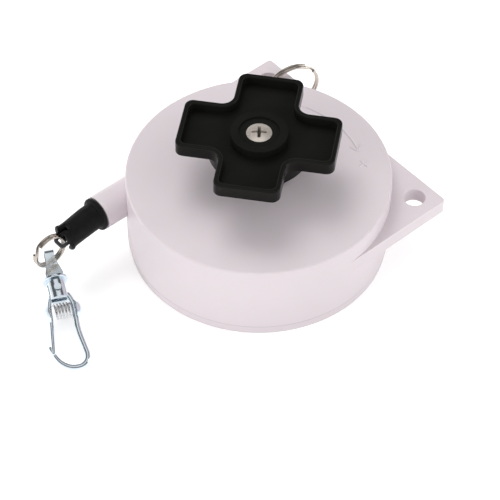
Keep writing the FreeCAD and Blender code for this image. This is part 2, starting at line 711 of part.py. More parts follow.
def rubber_stop():
    """Rubber buffer: a flange on the outlet, a tapered body and a beaded, slotted end."""
    seat = STOP_SEAT + STOP_FLANGE_T
    tip = STOP_LEN - STOP_BEAD_LEN
    body = turned([(0, seat / 2), (STOP_R, seat / 2), (STOP_TIP_R, tip), (STOP_BEAD_R, tip),
                   (STOP_BEAD_R, STOP_LEN), (0, STOP_LEN)])
    body = body.cut(rod(POCKET_R, STOP_LEN - POCKET_DEPTH, STOP_LEN + 1))
    slot = box(-CASE_R, CASE_R, -SLOT_W / 2, SLOT_W / 2, STOP_LEN - SLOT_DEPTH, STOP_LEN + 1)
    body = body.cut(slot)
    along_x = frame(V(0, 0, 0), V(0, 0, -1), V(0, 1, 0))
    body = moved(moved(body, along_x), rope_end_frame())
    flange = Part.makeCylinder(STOP_FLANGE_R, STOP_FLANGE_T, MOUTH - V(STOP_SEAT, 0, 0), V(-1, 0, 0))
    flange = flange.makeFillet(STOP_FLANGE_EDGE, [e for e in flange.Edges if e.Closed])
    return body.fuse(flange).cut(swept(rope_path(), ROPE_R + FIT))


def ferrule_low():
    """Where the crimp ferrule starts, measured out of the mouth."""
    return STOP_LEN - POCKET_DEPTH + PLAY


def rope_ferrule():
    """Crimp ferrule that closes the rope loop inside the rubber stop."""
    low = ferrule_low()
    sleeve = Part.makeCylinder(FERRULE_R, FERRULE_LEN, V(low, 0, 0), V(1, 0, 0))
    return moved(sleeve, rope_end_frame())


def rope_path():
    """Middle line of the rope from the drum through the outlet to the ferrule."""
    turn = math.radians(DROOP)
    end = MOUTH + V(-math.cos(turn), 0, -math.sin(turn)) * ferrule_low()
    radius = ROPE_BEND_SHARE * ferrule_low() / math.tan(turn / 2)
    return bent_path([V(0, ROPE_OFFSET, ROPE_Z), MOUTH, end], [radius])


def rope_run():
    """Rope from the drum through the outlet into the ferrule."""
    path = rope_path()
    rope = swept(path, ROPE_R)
    share = rope.Volume / (math.pi * ROPE_R ** 2 * path.Length)
    radii = ["%.1f" % e.Curve.Radius for e in path.Edges if hasattr(e.Curve, "Radius")]
    print("rope run: bend radii %s, volume / (area x length) = %.4f" % (radii, share))
    return rope


def hook_ring_center():
    """Centre of the hook ring in the rope end's own frame."""
    return V(STOP_LEN + HOOK_RING_REACH, 0, 0)


def rope_loop():
    """Rope loop from the ferrule round the wire of the hook ring."""
    low = ferrule_low() + FERRULE_LEN
    wire_x = STOP_LEN + HOOK_RING_REACH - (HOOK_RING_R - RING_WIRE_R)
    near = ROPE_R + FIT
    leg_x = low + LOOP_SPREAD / 2
    spread_x = low + LOOP_SPREAD * 1.5
    half = [V(low, near, 0), V(leg_x, near, 0), V(spread_x, LOOP_R, 0), V(wire_x + LOOP_R, LOOP_R, 0)]
    points = half + [V(p.x, -p.y, 0) for p in reversed(half)]
    path = bent_path(points, [LOOP_SPREAD, LOOP_SPREAD, LOOP_R, LOOP_R, LOOP_SPREAD, LOOP_SPREAD])
    return moved(swept(path, ROPE_R), rope_end_frame())


# ---------------------------------------------------------------- split rings
def split_ring(outer_r, tip):
    """Two flat turns of wire about Z, joined by a jog that ends at the angle of the wire's tips."""
    radius = outer_r - RING_WIRE_R
    rise = RING_WIRE_R + RING_GAP / 2
    jog_start = tip + 360.0 - math.degrees(RING_JOG / radius)
    turns = [Part.makeCircle(radius, V(0, 0, z), V(0, 0, 1), tip, jog_start) for z in (-rise, rise)]
    leave = polar(radius, jog_start, -rise)
    arrive = polar(radius, tip, rise)
    lever_arm = RING_JOG / 3
    jog = Part.BezierCurve()
    jog.setPoles([leave, leave + polar(lever_arm, jog_start + 90), arrive - polar(lever_arm, tip + 90), arrive])
    return swept(Part.Wire([turns[0], jog.toShape(), turns[1]]), RING_WIRE_R)


def hook_ring():
    """Split ring held by the rope loop, upright in the plane of the outlet axis."""
    ring = split_ring(HOOK_RING_R, HOOK_RING_TIP)
    upright = frame(hook_ring_center(), V(1, 0, 0), V(0, 0, 1))
    return moved(moved(ring, upright), rope_end_frame())


def hang_bar():
    """Middle of the bar between an ear hole and the edge of the ear, and the ring's own directions."""
    out = polar(1, HANG_RING_YAW)
    hole = V(EAR_HOLE_X, EAR_HOLE_X, EAR_MID_Z)
    bar_out = (EAR_REACH - EAR_HOLE_X) / out.x
    return hole + out * ((EAR_HOLE_R + bar_out) / 2), out, bar_out - EAR_HOLE_R


def hang_ring():
    """Split ring through the far ear."""
    middle, out, bar_w = hang_bar()
    reach = HANG_RING_R - 2 * RING_WIRE_R - math.hypot(bar_w, EAR_THICK) / 2 - HANG_BAR_GAP
    turn = math.radians(HANG_RING_REST)
    center = middle + out * (reach * math.cos(turn)) + V(0, 0, reach * math.sin(turn))
    return moved(split_ring(HANG_RING_R, HANG_RING_TIP), frame(center, out, V(0, 0, 1)))


# ---------------------------------------------------------------- snap hook
def hook_frame():
    """Local origin on the ring's wire, local -Y down the hook, local X across it, local Z upward."""
    center = rope_end_frame().multVec(hook_ring_center())
    eye = center - V(0, 0, HOOK_RING_R - RING_WIRE_R)
    tilt = math.asin((eye.z - JAW_WIRE_R - 0.02) / (JAW_ARC_Y + JAW_HALF))
    across = polar(1, HOOK_YAW)
    level = polar(1, HOOK_YAW + 90)
    return frame(eye, across, level * math.cos(tilt) + V(0, 0, math.sin(tilt)))


def strap_outline(grow):
    """Side outline of the space inside the eye, grown by a thickness."""
    half = EYE_SLOT_HALF + grow
    flare = EYE_FLARE_HALF + grow
    arch = EYE_SLOT_TOP - EYE_SLOT_HALF
    foot = -EYE_FOOT_Y - grow
    points = [V(0, arch, -half), V(0, -EYE_FLARE_Y, -half), V(0, foot, -flare),
              V(0, foot, flare), V(0, -EYE_FLARE_Y, half), V(0, arch, half)]
    edges = Part.makePolygon(points).Edges
    edges.append(Part.Arc(points[-1], V(0, arch + half, 0), points[0]).toShape())
    return Part.Face(Part.Wire(edges))


def swivel_eye():
    """Strap eye: a loop over the ring whose legs widen to a foot with a swivel hole."""
    width = EYE_FOOT_W
    outer = strap_outline(EYE_T).extrude(V(width, 0, 0))
    inner = strap_outline(0).extrude(V(width, 0, 0))
    strap = outer.cut(inner)
    strap.translate(V(-width / 2, 0, 0))
    high = EYE_SLOT_TOP + EYE_T + 1
    front = [V(-EYE_W / 2, high, -width), V(EYE_W / 2, high, -width), V(EYE_W / 2, 0, -width),
             V(width / 2, -EYE_FOOT_Y, -width), V(width / 2, -EYE_FOOT_Y - 2 * EYE_T, -width),
             V(-width / 2, -EYE_FOOT_Y - 2 * EYE_T, -width), V(-width / 2, -EYE_FOOT_Y, -width),
             V(-EYE_W / 2, 0, -width)]
    strap = strap.common(closed_face(front).extrude(V(0, 0, 2 * width)))
    hole = Part.makeCylinder(POST_R + RUN, 3 * EYE_T, V(0, -EYE_FOOT_Y + EYE_T, 0), V(0, -1, 0))
    return moved(strap.cut(hole), hook_frame())


def swivel_barrel():
    """Turned swivel: a head inside the eye, a post, a disc and a slotted barrel for the levers."""
    foot_top = EYE_FOOT_Y - RUN
    foot_low = EYE_FOOT_Y + EYE_T + RUN
    profile = [(0, -foot_top + POST_HEAD_H), (POST_HEAD_R, -foot_top + POST_HEAD_H),
               (POST_HEAD_R, -foot_top), (POST_R, -foot_top), (POST_R, -foot_low),
               (DISC_R, -foot_low), (DISC_R, -foot_low - DISC_T), (BARREL_R, -foot_low - DISC_T),
               (BARREL_R, -BARREL_END), (0, -BARREL_END)]
    body = turned(profile)
    rounds = [e for e in body.Edges if e.Closed and abs(e.BoundBox.XLength - 2 * DISC_R) < 0.01]
    body = body.makeFillet(DISC_EDGE, rounds)
    body = moved(body, frame(V(0, 0, 0), V(1, 0, 0), V(0, 0, -1)))
    wide = 2 * BARREL_R
    slot = box(-wide, wide, -BARREL_END - 1, -BARREL_SLOT_Y, -BARREL_SLOT_W / 2, BARREL_SLOT_W / 2)
    hole = Part.makeCylinder(RIVET_R + FIT, 4 * BARREL_R, V(0, -RIVET_Y, -2 * BARREL_R))
    return moved(body.cut([slot, hole]), hook_frame())


def lever_rivet():
    """Rivet through the barrel and both levers."""
    low = BARREL_R
    shank = Part.makeCylinder(RIVET_R, 2 * low, V(0, -RIVET_Y, -low))
    heads = [Part.makeCylinder(RIVET_HEAD_R, RIVET_HEAD_H, V(0, -RIVET_Y, start))
             for start in (low, -low - RIVET_HEAD_H)]
    return moved(shank.fuse(heads).removeSplitter(), hook_frame())


def thumb_pad(side):
    """Domed thumb pad outside a leg, one for each side."""
    ball_r = (PAD_R ** 2 + PAD_BULGE ** 2) / (2 * PAD_BULGE)
    rim_x = LEG_X + PAD_T / 2
    center = V(side * (rim_x + PAD_BULGE - ball_r), -PAD_Y, 0)
    shell = Part.makeSphere(ball_r, center).cut(Part.makeSphere(ball_r - PAD_T, center))
    low, high = sorted((side * rim_x, side * (rim_x + PAD_BULGE + 1)))
    return shell.common(box(low, high, -PAD_Y - PAD_R, -PAD_Y + PAD_R, -PAD_R, PAD_R))


def lever(points, radii, wire_r, side, plate_low):
    """Formed wire leg with a thumb pad and a pivot tang."""
    leg = swept(bent_path(points, radii), wire_r)
    tang = link_plate(V(0, -RIVET_Y, 0), TANG_R, points[0], wire_r * 0.9, plate_low, plate_low + TANG_T)
    body = leg.fuse([tang, thumb_pad(side), Part.makeSphere(wire_r, points[0])])
    hole = Part.makeCylinder(RIVET_R + RUN, 4 * TANG_T, V(0, -RIVET_Y, -2 * TANG_T))
    return body.cut(hole).removeSplitter()


def leg_points(side):
    """Middle line of a leg from its tang to the end of the straight stretch beside the spring."""
    return [V(side * LEG_TOP_X, -LEG_TOP_Y, 0), V(side * LEG_X, -PAD_Y + LEG_STRAIGHT, 0),
            V(side * LEG_X, -PAD_Y - LEG_STRAIGHT, 0)]


def nose_end():
    """Middle of the nose's rounded end."""
    return V(NOSE_IN - JAW_HALF, JAW_NOSE - JAW_ARC_Y, 0)


def jaw_points():
    """Middle line of the fixed jaw, from the tang round the end to the nose."""
    arc_low = -JAW_ARC_Y - JAW_HALF
    return leg_points(1) + [V(JAW_HALF, -JAW_ARC_Y + JAW_HALF, 0), V(JAW_HALF, arc_low, 0),
                            V(-JAW_HALF, arc_low, 0), nose_end()]


def hook_jaw():
    """Fixed jaw of the snap hook, bent from round wire."""
    radii = [LEG_BEND_R, 2 * LEG_BEND_R, 2 * LEG_BEND_R, JAW_HALF, NOSE_BEND_R]
    body = lever(jaw_points(), radii, JAW_WIRE_R, 1, -TANG_T - TANG_GAP / 2)
    nose = Part.makeSphere(JAW_WIRE_R, jaw_points()[-1])
    return moved(body.fuse(nose).removeSplitter(), hook_frame())


def hook_gate():
    """Sprung gate lever that closes against the inside of the nose."""
    start = leg_points(-1)[-1]
    rest = nose_end() + V(JAW_WIRE_R + GATE_WIRE_R + PLAY, 0, 0)
    tip = start + (rest - start) * ((GATE_TIP_Y + start.y) / (start.y - rest.y))
    points = leg_points(-1) + [tip]
    body = lever(points, [LEG_BEND_R, 2 * LEG_BEND_R], GATE_WIRE_R, -1, TANG_GAP / 2)
    end = Part.makeSphere(GATE_WIRE_R, tip)
    return moved(body.fuse(end).removeSplitter(), hook_frame())


def lever_spring():
    """Compression spring between the legs."""
    right = LEG_X - JAW_WIRE_R - PLAY
    left = LEG_X - GATE_WIRE_R - PLAY
    length = right + left - 2 * LEVER_WIRE_R
    spring = coil(LEVER_COIL_R, LEVER_WIRE_R, length / LEVER_TURNS, LEVER_TURNS)
    start = V(-left + LEVER_WIRE_R, -PAD_Y, 0)
    return moved(moved(spring, frame(start, V(0, 1, 0), V(0, 0, 1))), hook_frame())


# ---------------------------------------------------------------- build
def sub_parts():
    """Every node and its solid."""
    return {
        "front_shell": front_shell(),
        "back_cover": back_cover(),
        "cover_screws": cover_screws(),
        "outlet_bush": outlet_bush(),
        "neck_bush": neck_bush(),
        "tooth_ring": tooth_ring(),
        "return_spring": return_spring(),
        "thrust_washer": thrust_washer(),
        "spindle": spindle(),
        "clutch_ring": clutch_ring(),
        "clutch_pin": clutch_pin(),
        "cross_knob": cross_knob(),
        "knob_screw": knob_screw(),
        "rope_drum": rope_drum(),
        "drum_bush": drum_bush(),
        "spring_cover": spring_cover(),
        "power_spring": power_spring(),
        "rope_anchor": rope_anchor(),
        "rope_winding": rope_winding(),
        "rope_last_turn": rope_last_turn(),
        "rope_run": rope_run(),
        "rope_ferrule": rope_ferrule(),
        "rope_loop": rope_loop(),
        "rubber_stop": rubber_stop(),
        "hook_ring": hook_ring(),
        "swivel_eye": swivel_eye(),
        "swivel_barrel": swivel_barrel(),
        "lever_rivet": lever_rivet(),
        "hook_jaw": hook_jaw(),
        "lever_spring": lever_spring(),
        "hook_gate": hook_gate(),
        "hang_ring": hang_ring(),
    }


def main():
    """Write one STEP file for each sub-part."""
    os.makedirs("parts", exist_ok=True)
    for name, shape in sub_parts().items():
        if not shape.isValid():
            raise ValueError(name + " is not a valid solid")
        shape.exportStep("parts/" + name + ".step")
        print("%-16s solids %d  volume %9.2f" % (name, len(shape.Solids), shape.Volume))


main()
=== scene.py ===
import json
import math

import bpy
import numpy as np
from bpy.props import FloatProperty, FloatVectorProperty, IntProperty, PointerProperty
from mathutils import Matrix, Vector


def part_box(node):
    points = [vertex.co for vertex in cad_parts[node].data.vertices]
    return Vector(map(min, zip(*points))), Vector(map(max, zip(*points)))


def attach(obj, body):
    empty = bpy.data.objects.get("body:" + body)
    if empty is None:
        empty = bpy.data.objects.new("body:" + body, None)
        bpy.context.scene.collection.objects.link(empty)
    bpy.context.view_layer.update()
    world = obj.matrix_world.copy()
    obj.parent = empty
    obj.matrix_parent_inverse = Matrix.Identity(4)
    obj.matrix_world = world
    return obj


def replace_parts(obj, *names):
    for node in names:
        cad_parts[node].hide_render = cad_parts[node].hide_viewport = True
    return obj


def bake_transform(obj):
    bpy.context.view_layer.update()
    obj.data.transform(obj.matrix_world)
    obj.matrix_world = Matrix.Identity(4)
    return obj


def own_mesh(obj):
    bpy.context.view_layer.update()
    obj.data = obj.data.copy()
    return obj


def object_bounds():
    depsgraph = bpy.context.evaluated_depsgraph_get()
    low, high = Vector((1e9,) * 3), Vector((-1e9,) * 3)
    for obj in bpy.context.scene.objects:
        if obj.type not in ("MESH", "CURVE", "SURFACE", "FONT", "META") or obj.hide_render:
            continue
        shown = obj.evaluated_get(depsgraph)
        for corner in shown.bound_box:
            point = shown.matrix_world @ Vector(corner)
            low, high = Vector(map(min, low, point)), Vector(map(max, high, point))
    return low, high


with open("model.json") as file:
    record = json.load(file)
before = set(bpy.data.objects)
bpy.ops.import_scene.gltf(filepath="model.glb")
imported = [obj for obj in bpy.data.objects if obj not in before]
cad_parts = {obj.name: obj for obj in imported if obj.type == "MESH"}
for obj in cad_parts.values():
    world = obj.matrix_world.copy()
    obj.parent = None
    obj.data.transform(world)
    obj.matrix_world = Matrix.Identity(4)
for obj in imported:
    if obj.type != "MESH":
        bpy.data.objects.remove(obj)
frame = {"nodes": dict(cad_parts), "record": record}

bl_info = {
    "name": "Tool Balancer",
    "version": (1, 0, 0),
    "blender": (4, 5, 0),
    "location": "3D View > Sidebar > Balancer",
    "description": "Dresses a spring tool balancer: case, cross knob, rubber stop, split rings and snap hook",
    "category": "Object",
}

MM = 0.001
SCREW_DOME = 0.85 * MM
FIRST_BOUNDS = [list(corner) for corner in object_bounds()]
JOINTS = {joint["name"]: joint for joint in frame["record"]["behaviour"]["joints"]}
NODES = frame["nodes"]

# Points along the arrow's arc and each straight raised line, and round the rope, the rubber stop, the
# knob's screw, the levers' wire and their plates
ARC_STEPS, LINE_STEPS = 72, 16
ROPE_SIDES, STOP_SIDES, SCREW_SIDES, WIRE_SIDES, PLATE_SIDES = 24, 144, 160, 20, 48


# ---------------------------------------------------------------- places read from the frame
def corner(node, axis, high):
    """One coordinate of a node's box, in metres."""
    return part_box(node)[1 if high else 0][axis]


def middle(node):
    """Middle of a node's box."""
    low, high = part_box(node)
    return (low + high) / 2


def mouth():
    """Middle of the rope outlet's mouth."""
    place = middle("outlet_bush")
    return Vector((corner("outlet_bush", 0, False), place.y, place.z))


def rope_end_axes():
    """Unit vectors along the drooping rope end, across it and up from it."""
    along = (Vector(JOINTS["ring_swing"]["pos_m"]) - mouth()).normalized()
    across = Vector((0, -1, 0))
    return along, across, along.cross(across).normalized()


def droop_angle():
    """Angle by which the rope end droops below level."""
    return math.asin(-rope_end_axes()[0].z)


def hook_axes():
    """Origin on the ring's wire, and unit vectors across, up along and out of the flat of the hook."""
    along = Vector(JOINTS["hook_swivel"]["axis"]).normalized()
    out = Vector(JOINTS["gate_open"]["axis"]).normalized()
    return Vector(JOINTS["eye_swing"]["pos_m"]), along.cross(out).normalized(), along, out


# ---------------------------------------------------------------- sizes and colours
def measure(name, description, default):
    """Length that a user can change."""
    return FloatProperty(name=name, description=description, default=default, unit="LENGTH", precision=5)


def paint(name, description, default):
    """Colour that a user can change."""
    return FloatVectorProperty(
        name=name, description=description, default=default, subtype="COLOR", size=3, min=0, max=1)


def bearing(name, description, degrees):
    """Angle that a user can change."""
    return FloatProperty(name=name, description=description, default=math.radians(degrees), unit="ROTATION")


def brightness(name, description, default):
    """Strength of light that a user can change."""
    return FloatProperty(name=name, description=description, default=default, min=0)


class BalancerSizes(bpy.types.PropertyGroup):
    """Sizes of the pieces that this add-on makes."""

    mark_width: measure("Mark width", "Width of the raised lines of the arrow and the plus sign", 0.8 * MM)
    mark_height: measure("Mark height", "Height of the raised lines above the front face", 0.30 * MM)
    mark_radius: measure("Arrow radius", "Radius of the curved arrow about the drum axis", 39.4 * MM)
    rope_radius: measure("Rope radius", "Outer radius of the laid rope", 0.75 * MM)
    rope_lay: measure("Rope lay", "Length over which a strand goes once round the rope", 5.0 * MM)
    rope_strands: IntProperty(
        name="Strands", description="Number of strands laid round the rope", default=6, min=3, max=12)
    winding_turns: IntProperty(
        name="Stored turns", description="Whole turns of rope stored on the drum", default=6, min=1, max=12)
    spring_turns: FloatProperty(
        name="Lever spring turns", description="Turns of the spring between the hook's levers", default=5.0)
    stop_lip: measure("Stop lip", "Radius of the rounded lip of the rubber stop's flange", 0.95 * MM)
    recess_depth: measure("Recess depth", "Depth of the cross recess in the knob's screw", 2.0 * MM)


class BalancerColours(bpy.types.PropertyGroup):
    """Colours of the finishes."""

    case: paint("Case", "Satin moulded plastic of the case", (0.725, 0.657, 0.690))
    knob: paint("Knob", "Gloss black plastic of the knob", (0.009, 0.009, 0.008))
    rubber: paint("Rubber", "Moulded rubber of the stop", (0.007, 0.007, 0.007))
    nickel: paint("Nickel", "Nickel plating of the split rings and the knob's screw", (0.66, 0.60, 0.54))
    zinc: paint("Bright zinc", "Bluish zinc plating of the snap hook", (0.78, 0.86, 0.93))
    steel: paint("Steel", "Bare steel of the clutch and the springs", (0.46, 0.46, 0.47))
    rope: paint("Rope", "Laid black rope", (0.02, 0.02, 0.022))


class BalancerStudio(bpy.types.PropertyGroup):
    """Camera and light."""

    azimuth: bearing("Azimuth", "Direction the camera looks in, from +Y towards +X", 41.23)
    elevation: bearing("Elevation", "How far the camera looks down", 48.43)
    roll: bearing("Roll", "Tilt of the camera about its own axis", 0.44)
    distance: measure("Distance", "Camera to the point it looks at", 0.8717)
    target: FloatVectorProperty(
        name="Target", description="Point the camera looks at", subtype="XYZ", size=3, unit="LENGTH",
        default=(-0.0177, -0.0156, 0.017))
    lens: FloatProperty(
        name="Lens", description="Focal length for a 36 mm sensor", default=168.4, unit="CAMERA")
    backdrop: brightness("Backdrop", "Brightness of the white background", 1.0)
    ambient: brightness("Ambient", "Brightness of the light from all round", 0.46)
    zenith: brightness("Dark band", "Brightness of the band above the backdrop, as metal shows it", 0.12)
    overhead: brightness("Overhead", "Brightness straight above, as metal shows it", 0.85)


# ---------------------------------------------------------------- surfaces
def new_piece(name, *shells):
    """Mesh object from closed shells of points and triangles.  If a shell's signed volume, a sixth of the
    sum of each corner triple product, is negative, its faces are turned round so that they point outwards."""
    points, faces, count = [], [], 0
    for shell_points, shell_faces in shells:
        first, second, third = (shell_points[shell_faces[:, k]] for k in (0, 1, 2))
        if np.einsum("ij,ij->i", first, np.cross(second, third)).sum() < 0:
            shell_faces = shell_faces[:, ::-1]
        points.append(shell_points)
        faces.append(shell_faces + count)
        count += len(shell_points)
    mesh = bpy.data.meshes.new(name)
    mesh.from_pydata(np.vstack(points).tolist(), [], np.vstack(faces).tolist())
    mesh.polygons.foreach_set("use_smooth", np.full(len(mesh.polygons), True))
    mesh.update()
    piece = bpy.data.objects.new(name, mesh)
    bpy.context.scene.collection.objects.link(piece)
    return piece


def grid_triangles(rows, columns, close_rows=False):
    """Two triangles between neighbouring rows and columns of a grid whose columns close on themselves."""
    row, column = (a.ravel() for a in np.meshgrid(
        np.arange(rows if close_rows else rows - 1), np.arange(columns), indexing="ij"))
    below = (row + 1) % rows * columns
    here = row * columns
    beside = (column + 1) % columns
    first = np.stack([here + column, below + column, below + beside], axis=1)
    second = np.stack([here + column, below + beside, here + beside], axis=1)
    return np.vstack([first, second])


def capped(grid):
    """Closed shell from a grid of rings: each end ring is joined to one point at its own middle."""
    rows, columns = grid.shape[:2]
    points = np.vstack([grid.reshape(-1, 3), grid[0].mean(0), grid[-1].mean(0)])
    around = np.arange(columns)
    beside = (around + 1) % columns
    last = (rows - 1) * columns
    start_fan = np.stack([np.full(columns, rows * columns), around, beside], axis=1)
    end_fan = np.stack([np.full(columns, rows * columns + 1), last + beside, last + around], axis=1)
    return points, np.vstack([grid_triangles(rows, columns), start_fan, end_fan])


def closed_tube(name, *grids):
    """Piece of one or more capped shells."""
    return new_piece(name, *(capped(grid) for grid in grids))


def ring_surface(name, grid):
    """Piece whose surface closes on itself both ways, from a grid of rings."""
    return new_piece(name, (grid.reshape(-1, 3), grid_triangles(*grid.shape[:2], close_rows=True)))


def unit(vectors):
    """Vectors divided by their length."""
    return vectors / np.linalg.norm(vectors, axis=-1, keepdims=True)


def run_along(path):
    """Distance from the start of a path at each of its points."""
    return np.concatenate([[0], np.cumsum(np.linalg.norm(np.diff(path, axis=0), axis=1))])


def summed(heading, step):
    """Distances gone forward and down by a line of even steps whose heading below level is given."""
    return np.cumsum(np.cos(heading)) * step, np.cumsum(np.sin(heading)) * step


def carried(path, side, profile, scale=None):
    """Profile carried along a path: point = path + side * profile x + lift * profile y, where lift is the
    path's own direction, by central differences, crossed with side, which is one vector or one for every
    point.  Scale shrinks each ring."""
    heading = unit(np.gradient(path, axis=0))
    side = unit(side - heading * np.sum(side * heading, axis=1, keepdims=True))
    lift = np.cross(heading, side)
    if scale is None:
        scale = np.ones(len(path))
    flat = profile[None, :, :] if profile.ndim == 2 else profile
    flat = flat * scale[:, None, None]
    return path[:, None, :] + side[:, None, :] * flat[..., :1] + lift[:, None, :] * flat[..., 1:]


def even_angles(count):
    """Equal steps once round, in radians."""
    return np.linspace(0, 2 * math.pi, count, endpoint=False)


def circle(radius, count):
    """Points round a circle: radius times cosine and sine of equal steps."""
    angle = even_angles(count)
    return radius * np.stack([np.cos(angle), np.sin(angle)], axis=1)


def laid_tube(name, path, side, run, sizes):
    """Laid rope along a path.  Its strands go once round in every lay length of the run, and its radius
    falls by up to 14% in a valley between two strands, as 1 - |cos(strands * (angle - turn) / 2)| to the
    power 1.5."""
    angle = even_angles(ROPE_SIDES)
    turn = 2 * math.pi * run / sizes.rope_lay
    wave = np.abs(np.cos(sizes.rope_strands * (angle[None, :] - turn[:, None]) / 2))
    reach = sizes.rope_radius * (1 - 0.14 * (1 - wave) ** 1.5)
    section = np.stack([reach * np.cos(angle), reach * np.sin(angle)], axis=2)
    return closed_tube(name, carried(path, side, section))


def rounded_path(corners, count):
    """Quadratic B-spline through the middles of a polygon's runs, tangent to each run: every inner corner
    gives a span (1-t)^2 a + 2t(1-t) b + t^2 c between run middles, with the ends kept."""
    corners = np.asarray(corners, float)
    joints = (corners[1:] + corners[:-1]) / 2
    joints[0] = corners[0]
    joints[-1] = corners[-1]
    start, bend, end = joints[:-1, None], corners[1:-1, None], joints[1:, None]
    t = np.linspace(0, 1, count, endpoint=False)[None, :, None]
    spans = (1 - t) ** 2 * start + 2 * t * (1 - t) * bend + t ** 2 * end
    return np.vstack([spans.reshape(-1, corners.shape[1]), corners[-1:]])


def placed(points, origin, x_axis, y_axis, z_axis):
    """Local points moved to a frame of an origin and three unit vectors."""
    basis = np.array([x_axis, y_axis, z_axis], float)
    return points @ basis + np.array(origin, float)


def coil(name, center, basis, half, mean_radius, wire, turns, facets):
    """Coil about the first of three unit vectors: even steps along it, R cos a and R sin a on the other two,
    its round section carried with the radius direction as side, and both ends closed.  Facets are the
    steps in a turn and the points round the wire."""
    count = int(turns * facets[0])
    angle = np.linspace(0, 2 * math.pi * turns, count)
    outward = np.stack([np.zeros(count), np.cos(angle), np.sin(angle)], axis=1)
    path = outward * mean_radius
    path[:, 0] = np.linspace(-half, half, count)
    side = placed(outward, (0, 0, 0), *basis)
    return closed_tube(name, carried(placed(path, center, *basis), side, circle(wire, facets[1])))


def smooth_step(low, high, value):
    """0 below low, 1 above high, and 3t^2 - 2t^3 between."""
    t = np.clip((value - low) / (high - low), 0, 1)
    return t * t * (3 - 2 * t)


# ---------------------------------------------------------------- finishes
class Nodes:
    """A node tree, and short ways to add and join its nodes."""

    def __init__(self, tree):
        self.tree = tree

    def add(self, kind, inputs=(), **settings):
        """New node with its settings, and a value or an output for some of its inputs."""
        node = self.tree.nodes.new(kind)
        for key, value in settings.items():
            setattr(node, key, value)
        for key, value in dict(inputs).items():
            self.feed(node.inputs[key], value)
        return node

    def feed(self, socket, value):
        """Give an input a value, or a link from an output."""
        if hasattr(value, "is_linked"):
            self.tree.links.new(value, socket)
        else:
            socket.default_value = value

    def maths(self, operation, first, second=0.0):
        """One arithmetic step on outputs or numbers."""
        return self.add("ShaderNodeMath", {0: first, 1: second}, operation=operation).outputs["Value"]


class Finish(Nodes):
    """A node material with its shader and the Object coordinates that every pattern reads."""

    def __init__(self, name, roughness, metallic=0.0):
        self.material = bpy.data.materials.new(name)
        self.material.use_nodes = True
        super().__init__(self.material.node_tree)
        self.shader = self.tree.nodes["Principled BSDF"]
        self.place = self.add("ShaderNodeTexCoord").outputs["Object"]
        self.give("Roughness", roughness)
        self.give("Metallic", metallic)
        self.last_bump = None

    def give(self, key, value):
        """Give one of the shader's inputs a value or an output."""
        self.feed(self.shader.inputs[key], value)

    def stretched(self, scale):
        """Object coordinates through a Mapping node."""
        return self.add("ShaderNodeMapping", {"Scale": scale, "Vector": self.place}).outputs["Vector"]

    def noise(self, scale, detail=2.0, roughness=0.5, vector=None, distortion=0.0):
        """Cloud of noise, its grains 1/scale metres across."""
        return self.add("ShaderNodeTexNoise", {
            "Scale": scale, "Detail": detail, "Roughness": roughness, "Distortion": distortion,
            "Vector": vector or self.place}).outputs["Fac"]

    def mottle(self, scale, detail, distortion=0.0):
        """Noise with more contrast, from 0 to 1."""
        return self.span(self.noise(scale, detail, distortion=distortion), 0.35, 0.7, 0, 1)

    def rings(self, scale, distortion):
        """Even rings about the drum axis."""
        return self.add("ShaderNodeTexWave", {
            "Scale": scale, "Distortion": distortion, "Detail": 1.0, "Vector": self.place,
        }, wave_type="RINGS", rings_direction="Z").outputs["Fac"]

    def specks(self, scale, size):
        """Small round specks: 1 within size of the middle of a Voronoi cell."""
        cells = self.add("ShaderNodeTexVoronoi", {"Scale": scale, "Vector": self.place})
        return self.span(cells.outputs["Distance"], 0.0, size, 1.0, 0.0)

    def span(self, value, low, high, out_low, out_high):
        """Value mapped from one range to another and held at its ends."""
        return self.add("ShaderNodeMapRange", {
            "Value": value, "From Min": low, "From Max": high, "To Min": out_low, "To Max": out_high,
        }).outputs["Result"]

    def mixed(self, factor, first, second):
        """Colour between two, each a plain colour or an output."""
        ends = (end if hasattr(end, "is_linked") else (*end[:3], 1.0) for end in (first, second))
        inputs = {"Factor": factor, **dict(zip((6, 7), ends))}
        return self.add("ShaderNodeMix", inputs, data_type="RGBA").outputs[2]

    def colour(self, source):
        """Base colour from an output."""
        self.give("Base Color", source)

    def rough(self, source, first, last, low=0.3, high=0.7):
        """Roughness from a first value to a last one while the source goes from low to high."""
        self.give("Roughness", self.span(source, low, high, first, last))

    def bump(self, height, distance, strength=1.0):
        """Relief of a height from 0 to 1 over a distance in metres, on top of the last one."""
        inputs = {"Distance": distance, "Strength": strength, "Height": height}
        if self.last_bump is not None:
            inputs["Normal"] = self.last_bump
        self.last_bump = self.add("ShaderNodeBump", inputs).outputs["Normal"]
        self.give("Normal", self.last_bump)

    def height(self):
        """Height above the floor, in metres."""
        return self.add("ShaderNodeSeparateXYZ", {"Vector": self.place}).outputs["Z"]

    def axis_distance(self):
        """Distance from the drum axis, in metres."""
        flat = self.add("ShaderNodeVectorMath", {0: self.place, 1: (1, 1, 0)}, operation="MULTIPLY")
        inputs = {0: flat.outputs["Vector"]}
        return self.add("ShaderNodeVectorMath", inputs, operation="LENGTH").outputs["Value"]


def shade(colour, factor):
    """Colour made lighter or darker."""
    return tuple(min(1.0, c * factor) for c in colour[:3])


